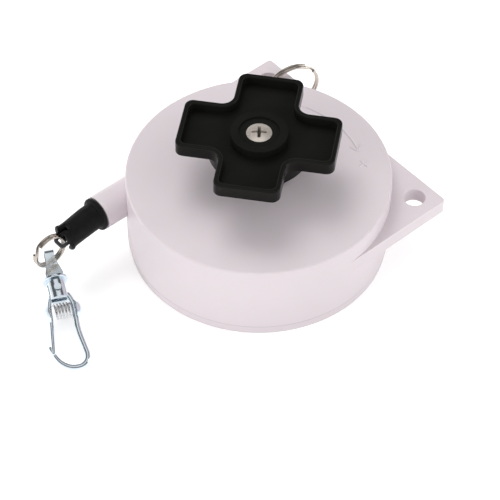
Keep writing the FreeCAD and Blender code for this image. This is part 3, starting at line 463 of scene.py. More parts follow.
def case_plastic(colour, parting):
    """Satin moulding: cloudy tint, a fine spark-eroded grain, a faint sink over the inner rib and a line of
    painted shade at the height of the parting, for the shadow in the joint between shell and cover."""
    finish = Finish("case_plastic", 0.42)
    cloud = finish.noise(28, 3)
    flow = finish.noise(9, 2, vector=finish.stretched((1, 1, 3.5)))
    tint = finish.mixed(finish.span(cloud, 0.35, 0.65, 0, 1), shade(colour, 0.985), shade(colour, 1.01))
    tint = finish.mixed(finish.span(flow, 0.4, 0.7, 0, 0.35), tint, shade(colour, 0.965))
    off = finish.maths("ABSOLUTE", finish.maths("SUBTRACT", finish.height(), parting))
    # painted shade: a dark line at the parting height, for the shadow in the gap between shell and cover
    joint_shade = finish.span(off, 0.10 * MM, 0.28 * MM, 0.75, 0.0)
    finish.colour(finish.mixed(joint_shade, tint, shade(colour, 0.55)))
    finish.rough(finish.noise(140, 4), 0.36, 0.47)
    rib_radius = 34.8 * MM
    rib = finish.maths("SUBTRACT", finish.axis_distance(), rib_radius)
    sink = finish.span(finish.maths("ABSOLUTE", rib), 0.0, 2.2 * MM, 0.0, 1.0)
    finish.bump(sink, 0.02 * MM, 0.6)
    finish.bump(finish.noise(2600, 2), 0.018 * MM, 0.55)
    finish.give("Subsurface Weight", 0.05)
    finish.give("Subsurface Scale", 1.2 * MM)
    return finish.material


def knob_plastic(colour):
    """Gloss black moulding: slow flow waves in the gloss, fine handling scratches and a few dust specks."""
    finish = Finish("knob_plastic", 0.22)
    dust = finish.specks(700, 0.07)
    worn = finish.span(finish.noise(60, 4), 0.45, 0.75, 0, 0.5)
    base = finish.mixed(worn, colour, shade(colour, 1.5))
    finish.colour(finish.mixed(finish.maths("MULTIPLY", dust, 0.06), base, (0.22, 0.21, 0.20)))
    scratches = finish.noise(220, 3, vector=finish.stretched((1, 8, 3)))
    finish.rough(scratches, 0.19, 0.27, low=0.35)
    finish.bump(finish.noise(55, 2), 0.03 * MM, 0.3)
    finish.bump(finish.noise(1800, 2), 0.003 * MM, 0.5)
    finish.give("Specular IOR Level", 0.09)
    return finish.material


def stop_rubber(colour):
    """Moulded rubber: matt, with a fine pebbled skin, chalky bloom and mould-flow mottling."""
    finish = Finish("stop_rubber", 0.55)
    bloom = finish.span(finish.noise(500, 4, 0.65), 0.48, 0.75, 0, 0.6)
    finish.colour(finish.mixed(bloom, colour, shade(colour, 1.9)))
    finish.rough(finish.noise(320, 3), 0.42, 0.6)
    finish.give("Specular IOR Level", 0.12)
    finish.bump(finish.noise(1500, 4, 0.6), 0.03 * MM, 0.7)
    finish.bump(finish.noise(190, 2), 0.10 * MM, 0.35)
    return finish.material


def plated_metal(name, colour, second, roughness, grain):
    """Plating: a slow drift between two tints, drawn lines along the wire and fine pits."""
    finish = Finish(name, roughness, 1.0)
    drift = finish.mottle(120, 3, 0.6)
    finish.colour(finish.mixed(drift, colour, second))
    drawn = finish.noise(grain, 4, vector=finish.stretched((1, 1, 6)))
    finish.rough(drawn, roughness * 0.7, roughness * 1.5)
    finish.bump(drawn, 0.006 * MM, 0.22)
    return finish.material


def screw_nickel(colour, rim):
    """Nickel-plated head: two drifting tints, turning marks about the drum axis, and painted shade that
    darkens what lies below the rim, which is the recess, more the deeper it goes."""
    finish = Finish("screw_nickel", 0.3, 0.6)
    drift = finish.mottle(160, 3)
    tint = finish.mixed(drift, shade(colour, 1.05), shade(colour, 0.85))
    # painted shade: the cross recess darkened towards near black with depth below the rim
    recess_shade = finish.span(finish.height(), rim - 0.55 * MM, rim - 0.02 * MM, 0.95, 0.0)
    finish.colour(finish.mixed(recess_shade, tint, (0.035, 0.028, 0.022)))
    finish.rough(drift, 0.26, 0.38, 0, 1)
    finish.bump(finish.rings(1100, 0.2), 0.004 * MM, 0.4)
    return finish.material


def turned_steel(colour):
    """Turned or ground steel: tool rings about the drum axis and a thin film of oil in patches."""
    roughness = 0.34
    finish = Finish("clutch_steel", roughness, 1.0)
    oil = finish.span(finish.noise(150, 3), 0.4, 0.7, 0, 1)
    finish.colour(finish.mixed(oil, colour, shade(colour, 0.78)))
    finish.rough(oil, roughness, roughness * 0.6, 0, 1)
    finish.bump(finish.rings(1500, 0.6), 0.01 * MM, 0.6)
    return finish.material


def blued_spring(colour):
    """Hardened band steel: blue and straw temper colours in slow bands, with rolled lines."""
    finish = Finish("spring_steel", 0.3, 1.0)
    temper = finish.mottle(90, 2, 1.2)
    blue = (colour[0] * 0.62, colour[1] * 0.68, colour[2] * 0.9)
    finish.colour(finish.mixed(temper, blue, shade(colour, 1.05)))
    rolled = finish.noise(1200, 2, vector=finish.stretched((0.2, 0.2, 4)))
    finish.rough(rolled, 0.22, 0.4)
    finish.bump(rolled, 0.008 * MM, 0.5)
    return finish.material


def inner_plastic(name, colour, grain):
    """Unpolished inner moulding: eroded grain, tool rings about the drum axis and ejector mottling."""
    finish = Finish(name, 0.5)
    cloud = finish.mottle(70, 3)
    finish.colour(finish.mixed(cloud, colour, shade(colour, 0.85)))
    finish.rough(finish.noise(400, 3), 0.42, 0.6)
    finish.bump(finish.rings(700, 0.3), 0.008 * MM, 0.4)
    finish.bump(finish.noise(grain, 2), 0.02 * MM, 0.5)
    return finish.material


def laid_rope(colour):
    """Laid rope: fine fibres along the strands."""
    finish = Finish("rope_cord", 0.7)
    fibres = finish.noise(3500, 3, vector=finish.stretched((0.25, 1, 1)))
    finish.colour(finish.mixed(finish.span(fibres, 0.35, 0.7, 0, 1), colour, shade(colour, 3.0)))
    finish.rough(fibres, 0.55, 0.8)
    finish.bump(fibres, 0.03 * MM, 0.7)
    finish.give("Sheen Weight", 0.15)
    return finish.material


def crimped_aluminium():
    """Soft aluminium sleeve: press marks and a dull mottled skin."""
    finish = Finish("crimp_metal", 0.42, 1.0)
    mottled = finish.mottle(600, 4)
    finish.colour(finish.mixed(mottled, (0.62, 0.62, 0.63), (0.48, 0.48, 0.50)))
    finish.rough(mottled, 0.35, 0.52, 0, 1)
    finish.bump(finish.noise(1400, 3), 0.02 * MM, 0.6)
    return finish.material


def dress(material, *names):
    """Give CAD nodes a material in every slot."""
    for name in names:
        for slot in NODES[name].material_slots:
            slot.material = material


def fit_out(piece, material, body):
    """Give a new piece its material and its body."""
    piece.data.materials.append(material)
    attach(piece, body)
    return piece


# ---------------------------------------------------------------- marks on the case
def raised_line(name, path, width, height):
    """Raised line: a half-round section, x = w/2 cos and z = h sin, carried along a flat path whose ends
    taper to about a seventh over one width, and sunk a little way into the face."""
    sunk = 0.25
    angle = np.linspace(-sunk, math.pi + sunk, 14)
    profile = np.stack([width / 2 * np.cos(angle), height * np.sin(angle)], axis=1)
    run = run_along(path)
    taper = np.sqrt(np.clip(np.minimum(run, run[-1] - run) / width, 0.02, 1))
    up = np.array([0.0, 0.0, 1.0])
    side = np.cross(unit(np.gradient(path, axis=0)), up)
    section = profile[None, :, :] * taper[:, None, None]
    return closed_tube(name, path[:, None, :] + side[:, None, :] * section[..., :1] + up * section[..., 1:])


def polar_place(radius, angle, height):
    """Point at a radius and an angle in degrees about the drum axis, or a row of them for a row of angles."""
    turn = np.radians(angle)
    return np.stack(np.broadcast_arrays(radius * np.cos(turn), radius * np.sin(turn), height), axis=-1)


class BALANCER_OT_case(bpy.types.Operator):
    """Finishes the case, its cover, screws and bushes, and moulds the direction arrow and plus sign"""

    bl_idname = "balancer.case"
    bl_label = "Case"

    def execute(self, context):
        sizes = context.scene.balancer_sizes
        colours = context.scene.balancer_colours
        moulded = case_plastic(colours.case, corner("front_shell", 2, False))
        dress(moulded, "front_shell", "back_cover")
        dress(inner_plastic("guide_plastic", (0.03, 0.03, 0.03), 1800), "outlet_bush")
        dress(inner_plastic("bearing_plastic", (0.02, 0.02, 0.022), 2200), "neck_bush", "drum_bush")
        screw = plated_metal("cover_screw_steel", (0.62, 0.60, 0.55), (0.52, 0.50, 0.46), 0.3, 900)
        dress(screw, "cover_screws")
        face = corner("front_shell", 2, True)
        radius = sizes.mark_radius
        tail_angle, tip_angle, plus_angle = 26.0, -24.0, -33.8
        tip = polar_place(radius, tip_angle, face)
        barb_width = 2.4 * MM
        barb_angle = tip_angle + math.degrees(3.4 * MM / radius)
        barb_out = polar_place(radius + barb_width, barb_angle, face)
        barb_in = polar_place(radius - barb_width, barb_angle, face)
        plus = polar_place(radius + 0.5 * MM, plus_angle, face)
        arm = 2.5 * MM
        across, along = np.array((arm, 0, 0)), np.array((0, arm, 0))
        lines = {
            "arrow_arc": polar_place(radius, np.linspace(tail_angle, tip_angle, ARC_STEPS), face),
            "arrow_barb_out": np.linspace(tip, barb_out, LINE_STEPS),
            "arrow_barb_in": np.linspace(tip, barb_in, LINE_STEPS),
            "plus_across": np.linspace(plus - across, plus + across, LINE_STEPS),
            "plus_along": np.linspace(plus - along, plus + along, LINE_STEPS),
        }
        for name, path in lines.items():
            line = raised_line(name, path, sizes.mark_width, sizes.mark_height)
            fit_out(line, moulded, "housing")
        return {"FINISHED"}


# ---------------------------------------------------------------- knob and its screw
def screw_head_height(x, y, radius, depth):
    """Height of the head over its rim: a dome, dome * (1 - (r/R)^2), less a cross recess.  An arm's mask is
    the product of two smooth steps, along it and across it, and the recess deepens towards the middle."""
    arm, arm_width, soft = 2.75 * MM, 0.5 * MM, 0.22 * MM

    def inside(half, offset):
        return 1 - smooth_step(half - soft, half + soft, np.abs(offset))

    distance = np.hypot(x, y)
    arms = np.maximum(inside(arm, x) * inside(arm_width, y), inside(arm, y) * inside(arm_width, x))
    well = 1 - smooth_step(arm_width * 1.2, arm_width * 2.0, distance)
    deepening = 1 - 0.55 * np.clip(distance / arm, 0, 1)
    return SCREW_DOME * (1 - (distance / radius) ** 2) - depth * np.maximum(arms, well) * deepening


def knob_screw_piece(sizes):
    """Screw as one closed surface: a polar grid for the head, then rings down the rim, the cone and the
    shank to the point, all turned to the recess's own angle."""
    low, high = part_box("knob_screw")
    radius = (high.x - low.x) / 2
    rim = high.z - SCREW_DOME
    cone_low = rim - 2.5 * MM
    shank, point = 2.46 * MM, 1.86 * MM
    below = np.array([(radius, rim - 0.06 * MM), (radius, rim - 0.16 * MM), (shank, cone_low),
                      (shank, low.z + 0.8 * MM), (point, low.z + 0.02 * MM)])
    around = even_angles(SCREW_SIDES)
    distance, angle = np.meshgrid(np.linspace(0.004, 1, 90) * radius * 0.985, around, indexing="ij")
    x, y = distance * np.cos(angle), distance * np.sin(angle)
    top = rim + screw_head_height(x, y, radius, sizes.recess_depth)
    reach = np.vstack([distance, np.repeat(below[:, :1], SCREW_SIDES, axis=1)])
    height = np.vstack([top, np.repeat(below[:, 1:], SCREW_SIDES, axis=1)])
    turned = around + math.radians(47)
    grid = np.stack([reach * np.cos(turned), reach * np.sin(turned), height], axis=2)
    return closed_tube("knob_screw_piece", grid)


class BALANCER_OT_knob(bpy.types.Operator):
    """Finishes the cross knob and makes its screw with a rounded cross recess"""

    bl_idname = "balancer.knob"
    bl_label = "Knob"

    def execute(self, context):
        sizes = context.scene.balancer_sizes
        colours = context.scene.balancer_colours
        dress(knob_plastic(colours.knob), "cross_knob")
        nickel = screw_nickel(colours.nickel, corner("knob_screw", 2, True) - SCREW_DOME)
        screw = fit_out(knob_screw_piece(sizes), nickel, "knob")
        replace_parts(screw, "knob_screw")
        return {"FINISHED"}


# ---------------------------------------------------------------- clutch and spindle
class BALANCER_OT_clutch(bpy.types.Operator):
    """Finishes the spindle, the toothed clutch, its pin, the thrust washer and the return spring"""

    bl_idname = "balancer.clutch"
    bl_label = "Clutch"

    def execute(self, context):
        colours = context.scene.balancer_colours
        steel = turned_steel(colours.steel)
        dress(steel, "spindle", "clutch_ring", "clutch_pin", "tooth_ring", "thrust_washer", "spring_cover")
        low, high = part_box("return_spring")
        center = middle("thrust_washer")
        center.z = (low.z + high.z) / 2
        upright = ((0, 0, 1), (1, 0, 0), (0, 1, 0))
        mean_radius, wire, turns, clearance = 5.3 * MM, 0.35 * MM, 3.0, 0.12 * MM
        half = (high.z - low.z) / 2 - wire
        spring = coil("return_spring_piece", center, upright, half, mean_radius, wire, turns, (40, 12))
        fit_out(spring, blued_spring(colours.steel), "housing")
        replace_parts(spring, "return_spring")
        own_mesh(spring)
        return {"FINISHED"}


# ---------------------------------------------------------------- drum and rope
def drum_winding(sizes):
    """Stored rope: a helix at the winding radius that climbs evenly to where the rope leaves the drum."""
    wound = mouth().y
    turns = sizes.winding_turns
    angle = np.linspace(math.radians(180 - 360 * turns), math.radians(90), turns * 120)
    side = np.stack([np.cos(angle), np.sin(angle), np.zeros(len(angle))], axis=1)
    path = side * wound
    bottom = corner("rope_winding", 2, False) + sizes.rope_radius
    path[:, 2] = np.linspace(bottom, middle("rope_last_turn").z, len(angle))
    return laid_tube("rope_winding_piece", path, side, wound * (angle - angle[0]), sizes)


def rope_line(sizes):
    """Straight rope from the drum through the outlet: it heads along -X and then turns downwards evenly
    into the drooping end, summed from its heading."""
    out = mouth()
    beyond_mouth = 4.7 * MM
    half_bend = 0.45 * beyond_mouth
    straight_run = -out.x - half_bend
    length = straight_run + 2 * half_bend + (beyond_mouth - half_bend)
    run = np.linspace(0, length, 360)
    heading = droop_angle() * np.clip((run - straight_run) / (2 * half_bend), 0, 1)
    forward, down = summed(heading, run[1] - run[0])
    path = np.stack([-forward, np.full(len(run), out.y), out.z - down], axis=1)
    return laid_tube("rope_line_piece", path, np.array([0.0, 1.0, 0.0]), run, sizes)


def rope_loop_piece(sizes):
    """Loop round the hook ring: a quadratic B-spline that leaves the ferrule, spreads, goes round the
    wire and comes back."""
    along, across, lift = rope_end_axes()
    low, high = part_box("rope_loop")
    half = (high.y - low.y) / 2 - sizes.rope_radius
    origin = mouth()
    wire = (Vector(JOINTS["ring_swing"]["pos_m"]) - origin).length
    start = wire - 7.0 * MM
    spread_start, spread_end = start + 1.8 * MM, start + 4.2 * MM
    near = 0.8 * MM
    tip = wire + half
    corners = [(start, near), (spread_start, near), (spread_end, half), (wire, half), (tip, half), (tip, 0)]
    corners += [(x, -y) for x, y in corners[-2::-1]]
    flat = rounded_path(corners, 24)
    path = placed(np.column_stack([flat, np.zeros(len(flat))]), origin, along, across, lift)
    return laid_tube("rope_loop_piece", path, np.array(lift), run_along(path), sizes)


class BALANCER_OT_drum(bpy.types.Operator):
    """Finishes the drum and its power spring, and winds the stored rope"""

    bl_idname = "balancer.drum"
    bl_label = "Drum"

    def execute(self, context):
        sizes = context.scene.balancer_sizes
        colours = context.scene.balancer_colours
        dress(inner_plastic("drum_plastic", (0.10, 0.11, 0.12), 1600), "rope_drum")
        dress(blued_spring(colours.steel), "power_spring")
        dress(crimped_aluminium(), "rope_anchor", "rope_ferrule")
        rope = laid_rope(colours.rope)
        winding = fit_out(drum_winding(sizes), rope, "drum")
        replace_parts(winding, "rope_winding", "rope_last_turn")
        line = rope_line(sizes)
        line.data.materials.append(rope)
        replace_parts(line, "rope_run")
        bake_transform(line)
        loop = fit_out(rope_loop_piece(sizes), rope, "rope_end")
        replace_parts(loop, "rope_loop")
        return {"FINISHED"}


# ---------------------------------------------------------------- rubber stop
def stop_outline(sizes):
    """Half section of the stop as (distance along it, radius): flat back, rounded lip, hollow fillet, tapered
    body, round end bead, pocket and rope bore.  Every round stretch is an arc."""
    low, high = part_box("rubber_stop")
    flange = (high.y - low.y) / 2
    lip = sizes.stop_lip
    back, length = 0.1 * MM, 16.9 * MM
    body, waist, fillet = 5.2 * MM, 5.0 * MM, 1.1 * MM
    bead, bead_out = 0.9 * MM, 5.5 * MM
    pocket, pocket_lip, pocket_floor = 3.5 * MM, 0.5 * MM, 5.0 * MM
    bore, bore_front = 1.3 * MM, 4.6 * MM
    taper = np.linspace(4.6 * MM, length - 3.2 * MM, 14)
    narrowing = smooth_step(3 * MM, length - 3 * MM, taper)

    def arc(center, radius, start, end, count):
        angle = np.radians(np.linspace(start, end, count))
        return np.stack([center[0] + radius * np.cos(angle), center[1] + radius * np.sin(angle)], axis=1)

    return np.vstack([
        np.array([(back, bore), (back, flange - lip)]),
        arc((back + lip, flange - lip), lip, 180, 0, 22),
        arc((back + 2 * lip + fillet * 0.55, body + fillet), fillet, 235, 270, 8),
        np.stack([taper, waist + (body - waist) * (1 - narrowing)], axis=1),
        arc((length - bead, bead_out - bead), bead, 145, 0, 18),
        arc((length - pocket_lip, pocket + pocket_lip), pocket_lip, 0, -90, 6),
        np.array([(length - 5 * MM, pocket), (pocket_floor, pocket), (bore_front, bore)]),
    ])


def rubber_stop_piece(sizes):
    """Rubber stop as a closed surface of revolution about a centre line that droops: the outline (s, r) is
    turned round it, and the centre line's heading goes from level to the droop over the first few
    millimetres.  A slot is made by pulling the end back where |across| is under half its width:
    s becomes s - depth * step(s) * (1 - step(|across|))."""
    outline = stop_outline(sizes)
    angle = even_angles(STOP_SIDES)
    s, turn = np.meshgrid(outline[:, 0], angle, indexing="ij")
    r = np.repeat(outline[:, 1:], STOP_SIDES, axis=1)
    sideways, upward = r * np.cos(turn), r * np.sin(turn)
    end = s.max()
    slot_depth, slot_half, slot_soft = 3.0 * MM, 1.55 * MM, 0.6 * MM
    inside = 1 - smooth_step(slot_half, slot_half + slot_soft, np.abs(sideways))
    s = s - slot_depth * smooth_step(end - 4.2 * MM, end - 0.4 * MM, s) * inside
    bend_start, bend_end, extra_bend = 1.0 * MM, 7.0 * MM, 1.12
    run = np.linspace(0, 20 * MM, 400)
    heading = droop_angle() * extra_bend * smooth_step(bend_start, bend_end, run)
    forward, down = summed(heading, run[1] - run[0])
    center_x, center_z, turned = (np.interp(s, run, values) for values in (forward, down, heading))
    out = mouth()
    x = out.x - center_x - upward * np.sin(turned)
    z = out.z - center_z + upward * np.cos(turned)
    return ring_surface("rubber_stop_piece", np.stack([x, out.y + sideways, z], axis=2))


class BALANCER_OT_rope_end(bpy.types.Operator):
    """Moulds the bent rubber stop with its lip, end bead and slot"""

    bl_idname = "balancer.rope_end"
    bl_label = "Rubber stop"

    def execute(self, context):
        sizes = context.scene.balancer_sizes
        colours = context.scene.balancer_colours
        stop = fit_out(rubber_stop_piece(sizes), stop_rubber(colours.rubber), "rope_end")
        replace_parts(stop, "rubber_stop")
        return {"FINISHED"}


# ---------------------------------------------------------------- rings and hook
# Middle lines of the hook's two levers, across and along the hook, in millimetres from the ring's wire, and
# how far each corner stands out of the flat of the hook
JAW_CORNERS = ((3.0, -14.4), (4.6, -17.4), (4.35, -24.3), (3.95, -30.0), (4.9, -36.6), (5.5, -41.2),
               (3.2, -44.5), (-1.5, -44.5), (-5.2, -41.5), (-6.9, -37.3), (-7.5, -34.6))
JAW_RISE = (0, 0, 0, 0, 0, 0.1, 0.2, 0.2, 0.1, -0.3, -0.7)
GATE_CORNERS = ((-3.0, -14.4), (-4.5, -17.4), (-4.9, -24.3), (-6.0, -31.5), (-6.85, -37.6))
GATE_RISE = (0, 0, 0, 0.4, 0.85)
# Wire radii at the start and at the tip, the rivet's and the pads' places down the hook, and the layers of a
# tang plate as height and share of its outline
JAW_RADII, GATE_RADII = (1.12, 0.72), (0.8, 0.7)
RIVET_PLACE, PAD_PLACE = 12.3, 21.4
PLATE_LAYERS = ((0, 0.80), (0, 0.94), (0.12, 1.0), (0.98, 1.0), (1.1, 0.94), (1.1, 0.80))


class BALANCER_OT_rings(bpy.types.Operator):
    """Finishes both split rings"""

    bl_idname = "balancer.rings"
    bl_label = "Split rings"

    def execute(self, context):
        colours = context.scene.balancer_colours
        nickel = plated_metal("ring_nickel", colours.nickel, shade(colours.nickel, 0.72), 0.16, 500)
        dress(nickel, "hook_ring", "hang_ring")
        return {"FINISHED"}


def lever_spring_piece(sizes):
    """Spring between the levers: a coil about the hook's own across direction, with closed ends."""
    basis = hook_axes()[1:]
    across, along, _ = basis
    pivot = Vector(JOINTS["gate_open"]["pos_m"])
    center = middle("lever_spring")
    on_axis = pivot + along * ((center - pivot).dot(along))
    place = on_axis + across * ((center - on_axis).dot(across))
    half, mean_radius, wire = 3.0 * MM, 2.7 * MM, 0.4 * MM
    return coil("lever_spring_piece", place, basis, half, mean_radius, wire, sizes.spring_turns, (44, 14))


def formed_wire(corners, rise, radii):
    """Round wire in the hook's own frame: a rounded path whose radius is the first value over six tenths of
    its points and then goes evenly to the last.  Its far end closes as a hemisphere."""
    path = rounded_path([(x * MM, y * MM, z * MM) for (x, y), z in zip(corners, rise)], 26)
    share = np.linspace(0, 1, len(path))
    radius = np.interp(share, (0, 0.6, 1), (radii[0], radii[0], radii[1])) * MM
    bend = np.linspace(0.12, math.pi / 2, 6)[1:]
    nose = path[-1] + unit(path[-1] - path[-2]) * radius[-1] * np.sin(bend[:, None])
    path = np.vstack([path, nose])
    radius = np.concatenate([radius, radius[-1] * np.cos(bend) + 0.01 * MM])
    return carried(path, np.array([0.0, 0.0, 1.0]), circle(1.0, WIRE_SIDES), radius)


def thumb_pad(side):
    """Domed pad outside a leg: a spherical cap, turned about the across direction, as an outer skin that
    folds round its rim into an inner one a plate's thickness inside."""
    radius, bulge, plate, start = 3.9, 2.2, 0.8, 5.0
    ball = (radius ** 2 + bulge ** 2) / (2 * bulge)
    reach = math.asin(radius / ball)
    out = np.linspace(0.02, reach, 20)
    back = np.linspace(reach - 0.04, 0.02, 20)
    along = np.concatenate([ball * np.cos(out), (ball - plate) * np.cos(back)]) - (ball - bulge) + start
    away = np.concatenate([ball * np.sin(out), (ball - plate) * np.sin(back)])
    ring = circle(1.0, PLATE_SIDES)
    grid = np.stack([np.repeat(side * along[:, None], PLATE_SIDES, axis=1),
                     away[:, None] * ring[:, 0] - PAD_PLACE, away[:, None] * ring[:, 1]], axis=2)
    return grid * MM


def pivot_plate(side, low):
    """Tang plate: the outline of two circles, round the rivet and round the leg's end, with a straight run
    between them, stacked as rings with a small bevel at both faces."""
    leg_radius, rivet_radius = 0.85, 2.1
    ring = circle(1.0, PLATE_SIDES)
    rivet = np.array([0.0, -RIVET_PLACE])
    leg = np.array([side * 3.0, -14.8])
    toward = (leg - rivet) / np.linalg.norm(leg - rivet)
    at_leg = (ring @ toward) > 0
    outline = np.where(at_leg[:, None], leg + ring * leg_radius, rivet + ring * rivet_radius)
    center = outline.mean(0)
    rows = [np.column_stack([center + (outline - center) * scale, np.full(PLATE_SIDES, low + height)])
            for height, scale in PLATE_LAYERS]
    return np.array(rows) * MM


def lever_piece(name, corners, rise, radii, side, plate_low):
    """Lever in the hook's frame: formed wire, thumb pad and tang plate, each a closed shell."""
    origin, *basis = hook_axes()
    parts = (formed_wire(corners, rise, radii), thumb_pad(side), pivot_plate(side, plate_low))
    return closed_tube(name, *(placed(part, origin, *basis) for part in parts))


class BALANCER_OT_hook(bpy.types.Operator):
    """Finishes the snap hook and winds the spring between its levers"""

    bl_idname = "balancer.hook"
    bl_label = "Snap hook"

    def execute(self, context):
        sizes = context.scene.balancer_sizes
        colours = context.scene.balancer_colours
        zinc = plated_metal("hook_zinc", colours.zinc, shade(colours.zinc, 0.86), 0.14, 620)
        dress(zinc, "swivel_eye", "swivel_barrel", "lever_rivet")
        jaw = lever_piece("hook_jaw_piece", JAW_CORNERS, JAW_RISE, JAW_RADII, 1, -1.15)
        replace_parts(fit_out(jaw, zinc, "hook"), "hook_jaw")
        gate = lever_piece("hook_gate_piece", GATE_CORNERS, GATE_RISE, GATE_RADII, -1, 0.05)
        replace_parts(fit_out(gate, zinc, "gate"), "hook_gate")
        bright = plated_metal("hook_spring", (0.74, 0.74, 0.75), (0.60, 0.60, 0.62), 0.16, 800)
        spring = fit_out(lever_spring_piece(sizes), bright, "hook")
        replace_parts(spring, "lever_spring")
        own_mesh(spring)
        return {"FINISHED"}


# ---------------------------------------------------------------- stage
# Half of the floor's side, and each lamp's name, place, aim, size, power and whether metal shows it
FLOOR_HALF = 6.0
CASE_MIDDLE = (0, 0, 0.01)
KNOB_MIDDLE = (0, 0, 0.04)
LAMPS = (
    ("key", (0.12, 0.50, 0.80), CASE_MIDDLE, (0.6, 0.6), 4.1, False),
    ("fill_front", (-0.60, -0.75, 0.35), CASE_MIDDLE, (0.9, 0.5), 1.15, False),
    ("fill_left", (-1.9, 0.2, 0.69), CASE_MIDDLE, (1.2, 1.0), 15.6, False),
    ("fill_right", (0.15, -0.95, 0.35), CASE_MIDDLE, (0.6, 0.5), 2.1, False),
    ("edge_right", (0.66, -0.58, 0.36), KNOB_MIDDLE, (0.25, 0.8), 1.8, True),
)


def seen_background(nodes):
    """1 for camera, glossy and transmission rays, and 0 for others."""
    paths = nodes.add("ShaderNodeLightPath")
    found = paths.outputs["Is Camera Ray"]
    for ray in ("Is Glossy Ray", "Is Transmission Ray"):
        found = nodes.maths("MAXIMUM", found, paths.outputs[ray])
    return found


def plain_floor():
    """Pale floor: white with the least unevenness.  Its own brightness, for seen rays, goes up with the
    distance from the middle, since the lamps light it less there."""
    finish = Finish("studio_floor", 0.9)
    finish.colour(finish.mixed(finish.noise(3, 2), (0.93, 0.93, 0.93), (0.95, 0.95, 0.95)))
    seen = seen_background(finish)
    finish.give("Emission Color", (1, 1, 1, 1))
    inputs = {"Vector": finish.stretched((0.8, 0.8, 0.8))}
    nearness = finish.add("ShaderNodeTexGradient", inputs, gradient_type="SPHERICAL")
    own = finish.span(nearness.outputs["Fac"], 0.1, 0.75, 0.60, 0.34)
    finish.give("Emission Strength", finish.maths("MULTIPLY", seen, own))
    return finish.material


def soft_light(name, place, aim, size, power, glossy):
    """Rectangular area light at a place, aimed at a point."""
    data = bpy.data.lights.new(name, "AREA")
    data.shape = "RECTANGLE"
    data.size, data.size_y = size
    data.energy = power
    light = bpy.data.objects.new(name, data)
    light.visible_glossy = glossy
    direction = Vector(aim) - Vector(place)
    light.matrix_world = Matrix.Translation(place) @ direction.to_track_quat("-Z", "Y").to_matrix().to_4x4()
    bpy.context.scene.collection.objects.link(light)


def white_world(studio):
    """White backdrop for camera, glossy and transmission rays, with a dark band above it and light overhead,
    and softer even light for all others."""
    world = bpy.data.worlds.new("studio")
    world.use_nodes = True
    nodes = Nodes(world.node_tree)
    background = nodes.tree.nodes["Background"]
    place = nodes.add("ShaderNodeTexCoord").outputs["Generated"]
    direction = nodes.add("ShaderNodeSeparateXYZ", {"Vector": place})
    ceiling = nodes.add("ShaderNodeValToRGB", {"Fac": direction.outputs["Z"]})
    ceiling.color_ramp.interpolation = "EASE"
    stops = ((0.28, studio.backdrop), (0.46, studio.zenith), (0.84, studio.zenith), (0.93, studio.overhead))
    for _ in stops[2:]:
        ceiling.color_ramp.elements.new(0.5)
    for element, (height, level) in zip(ceiling.color_ramp.elements, stops):
        element.position = height
        element.color = (level, level, level, 1)
    inputs = {"A": studio.ambient, "B": ceiling.outputs["Color"], "Factor": seen_background(nodes)}
    strength = nodes.add("ShaderNodeMix", inputs)
    nodes.feed(background.inputs["Strength"], strength.outputs["Result"])
    background.inputs["Color"].default_value = (1, 1, 1, 1)
    return world


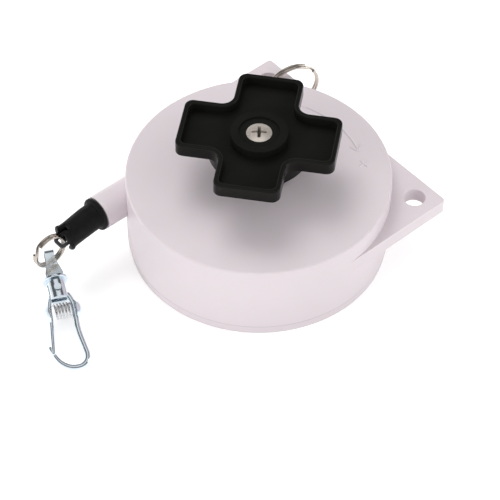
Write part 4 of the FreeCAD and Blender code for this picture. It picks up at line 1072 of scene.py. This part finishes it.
class BALANCER_OT_stage(bpy.types.Operator):
    """Sets up the floor, the soft studio light, the white background and the camera"""

    bl_idname = "balancer.stage"
    bl_label = "Stage"

    def execute(self, context):
        studio = context.scene.balancer_studio
        level = min(0.0, FIRST_BOUNDS[0][2]) - 0.05 * MM
        corners = [(x * FLOOR_HALF, y * FLOOR_HALF, level) for x, y in ((-1, -1), (1, -1), (1, 1), (-1, 1))]
        mesh = bpy.data.meshes.new("studio_floor")
        mesh.from_pydata(corners, [], [(0, 1, 2, 3)])
        floor = bpy.data.objects.new("studio_floor", mesh)
        floor.data.materials.append(plain_floor())
        context.scene.collection.objects.link(floor)
        for lamp in LAMPS:
            soft_light(*lamp)
        context.scene.world = white_world(studio)
        context.scene.view_settings.view_transform = "Standard"
        camera_data = bpy.data.cameras.new("camera")
        camera_data.lens = studio.lens
        camera_data.sensor_width = 36
        camera_data.clip_start = 0.01
        camera = bpy.data.objects.new("camera", camera_data)
        forward = Vector((math.sin(studio.azimuth) * math.cos(studio.elevation),
                          math.cos(studio.azimuth) * math.cos(studio.elevation), -math.sin(studio.elevation)))
        sideways = Vector((math.cos(studio.azimuth), -math.sin(studio.azimuth), 0))
        up = sideways.cross(forward)
        right = sideways * math.cos(studio.roll) + up * math.sin(studio.roll)
        up = right.cross(forward)
        turn = Matrix((right, up, -forward)).transposed().to_4x4()
        place = Vector(studio.target) - forward * studio.distance
        camera.matrix_world = Matrix.Translation(place) @ turn
        context.scene.collection.objects.link(camera)
        context.scene.camera = camera
        return {"FINISHED"}


# ---------------------------------------------------------------- panel and registration
OPERATORS = (
    BALANCER_OT_case,
    BALANCER_OT_knob,
    BALANCER_OT_clutch,
    BALANCER_OT_drum,
    BALANCER_OT_rope_end,
    BALANCER_OT_rings,
    BALANCER_OT_hook,
    BALANCER_OT_stage,
)


class BALANCER_PT_panel(bpy.types.Panel):
    """Lists every step of the balancer"""

    bl_idname = "BALANCER_PT_panel"
    bl_label = "Tool balancer"
    bl_space_type = "VIEW_3D"
    bl_region_type = "UI"
    bl_category = "Balancer"

    def draw(self, context):
        for group in ("balancer_sizes", "balancer_colours", "balancer_studio"):
            settings = getattr(context.scene, group)
            box = self.layout.box()
            for key in settings.__annotations__:
                box.prop(settings, key)
        for operator in OPERATORS:
            self.layout.operator(operator.bl_idname)


GROUPS = {
    "balancer_sizes": BalancerSizes,
    "balancer_colours": BalancerColours,
    "balancer_studio": BalancerStudio,
}


def register():
    """Register the settings, the operators and the panel."""
    for name, group in GROUPS.items():
        bpy.utils.register_class(group)
        setattr(bpy.types.Scene, name, PointerProperty(type=group))
    for operator in OPERATORS:
        bpy.utils.register_class(operator)
    bpy.utils.register_class(BALANCER_PT_panel)


def unregister():
    """Take everything out again, in the opposite order."""
    bpy.utils.unregister_class(BALANCER_PT_panel)
    for operator in reversed(OPERATORS):
        bpy.utils.unregister_class(operator)
    for name, group in reversed(GROUPS.items()):
        delattr(bpy.types.Scene, name)
        bpy.utils.unregister_class(group)


def main():
    """Run every step in order."""
    register()
    for operator in OPERATORS:
        family, step = operator.bl_idname.split(".")
        getattr(getattr(bpy.ops, family), step)()


if __name__ == "__main__":
    main()
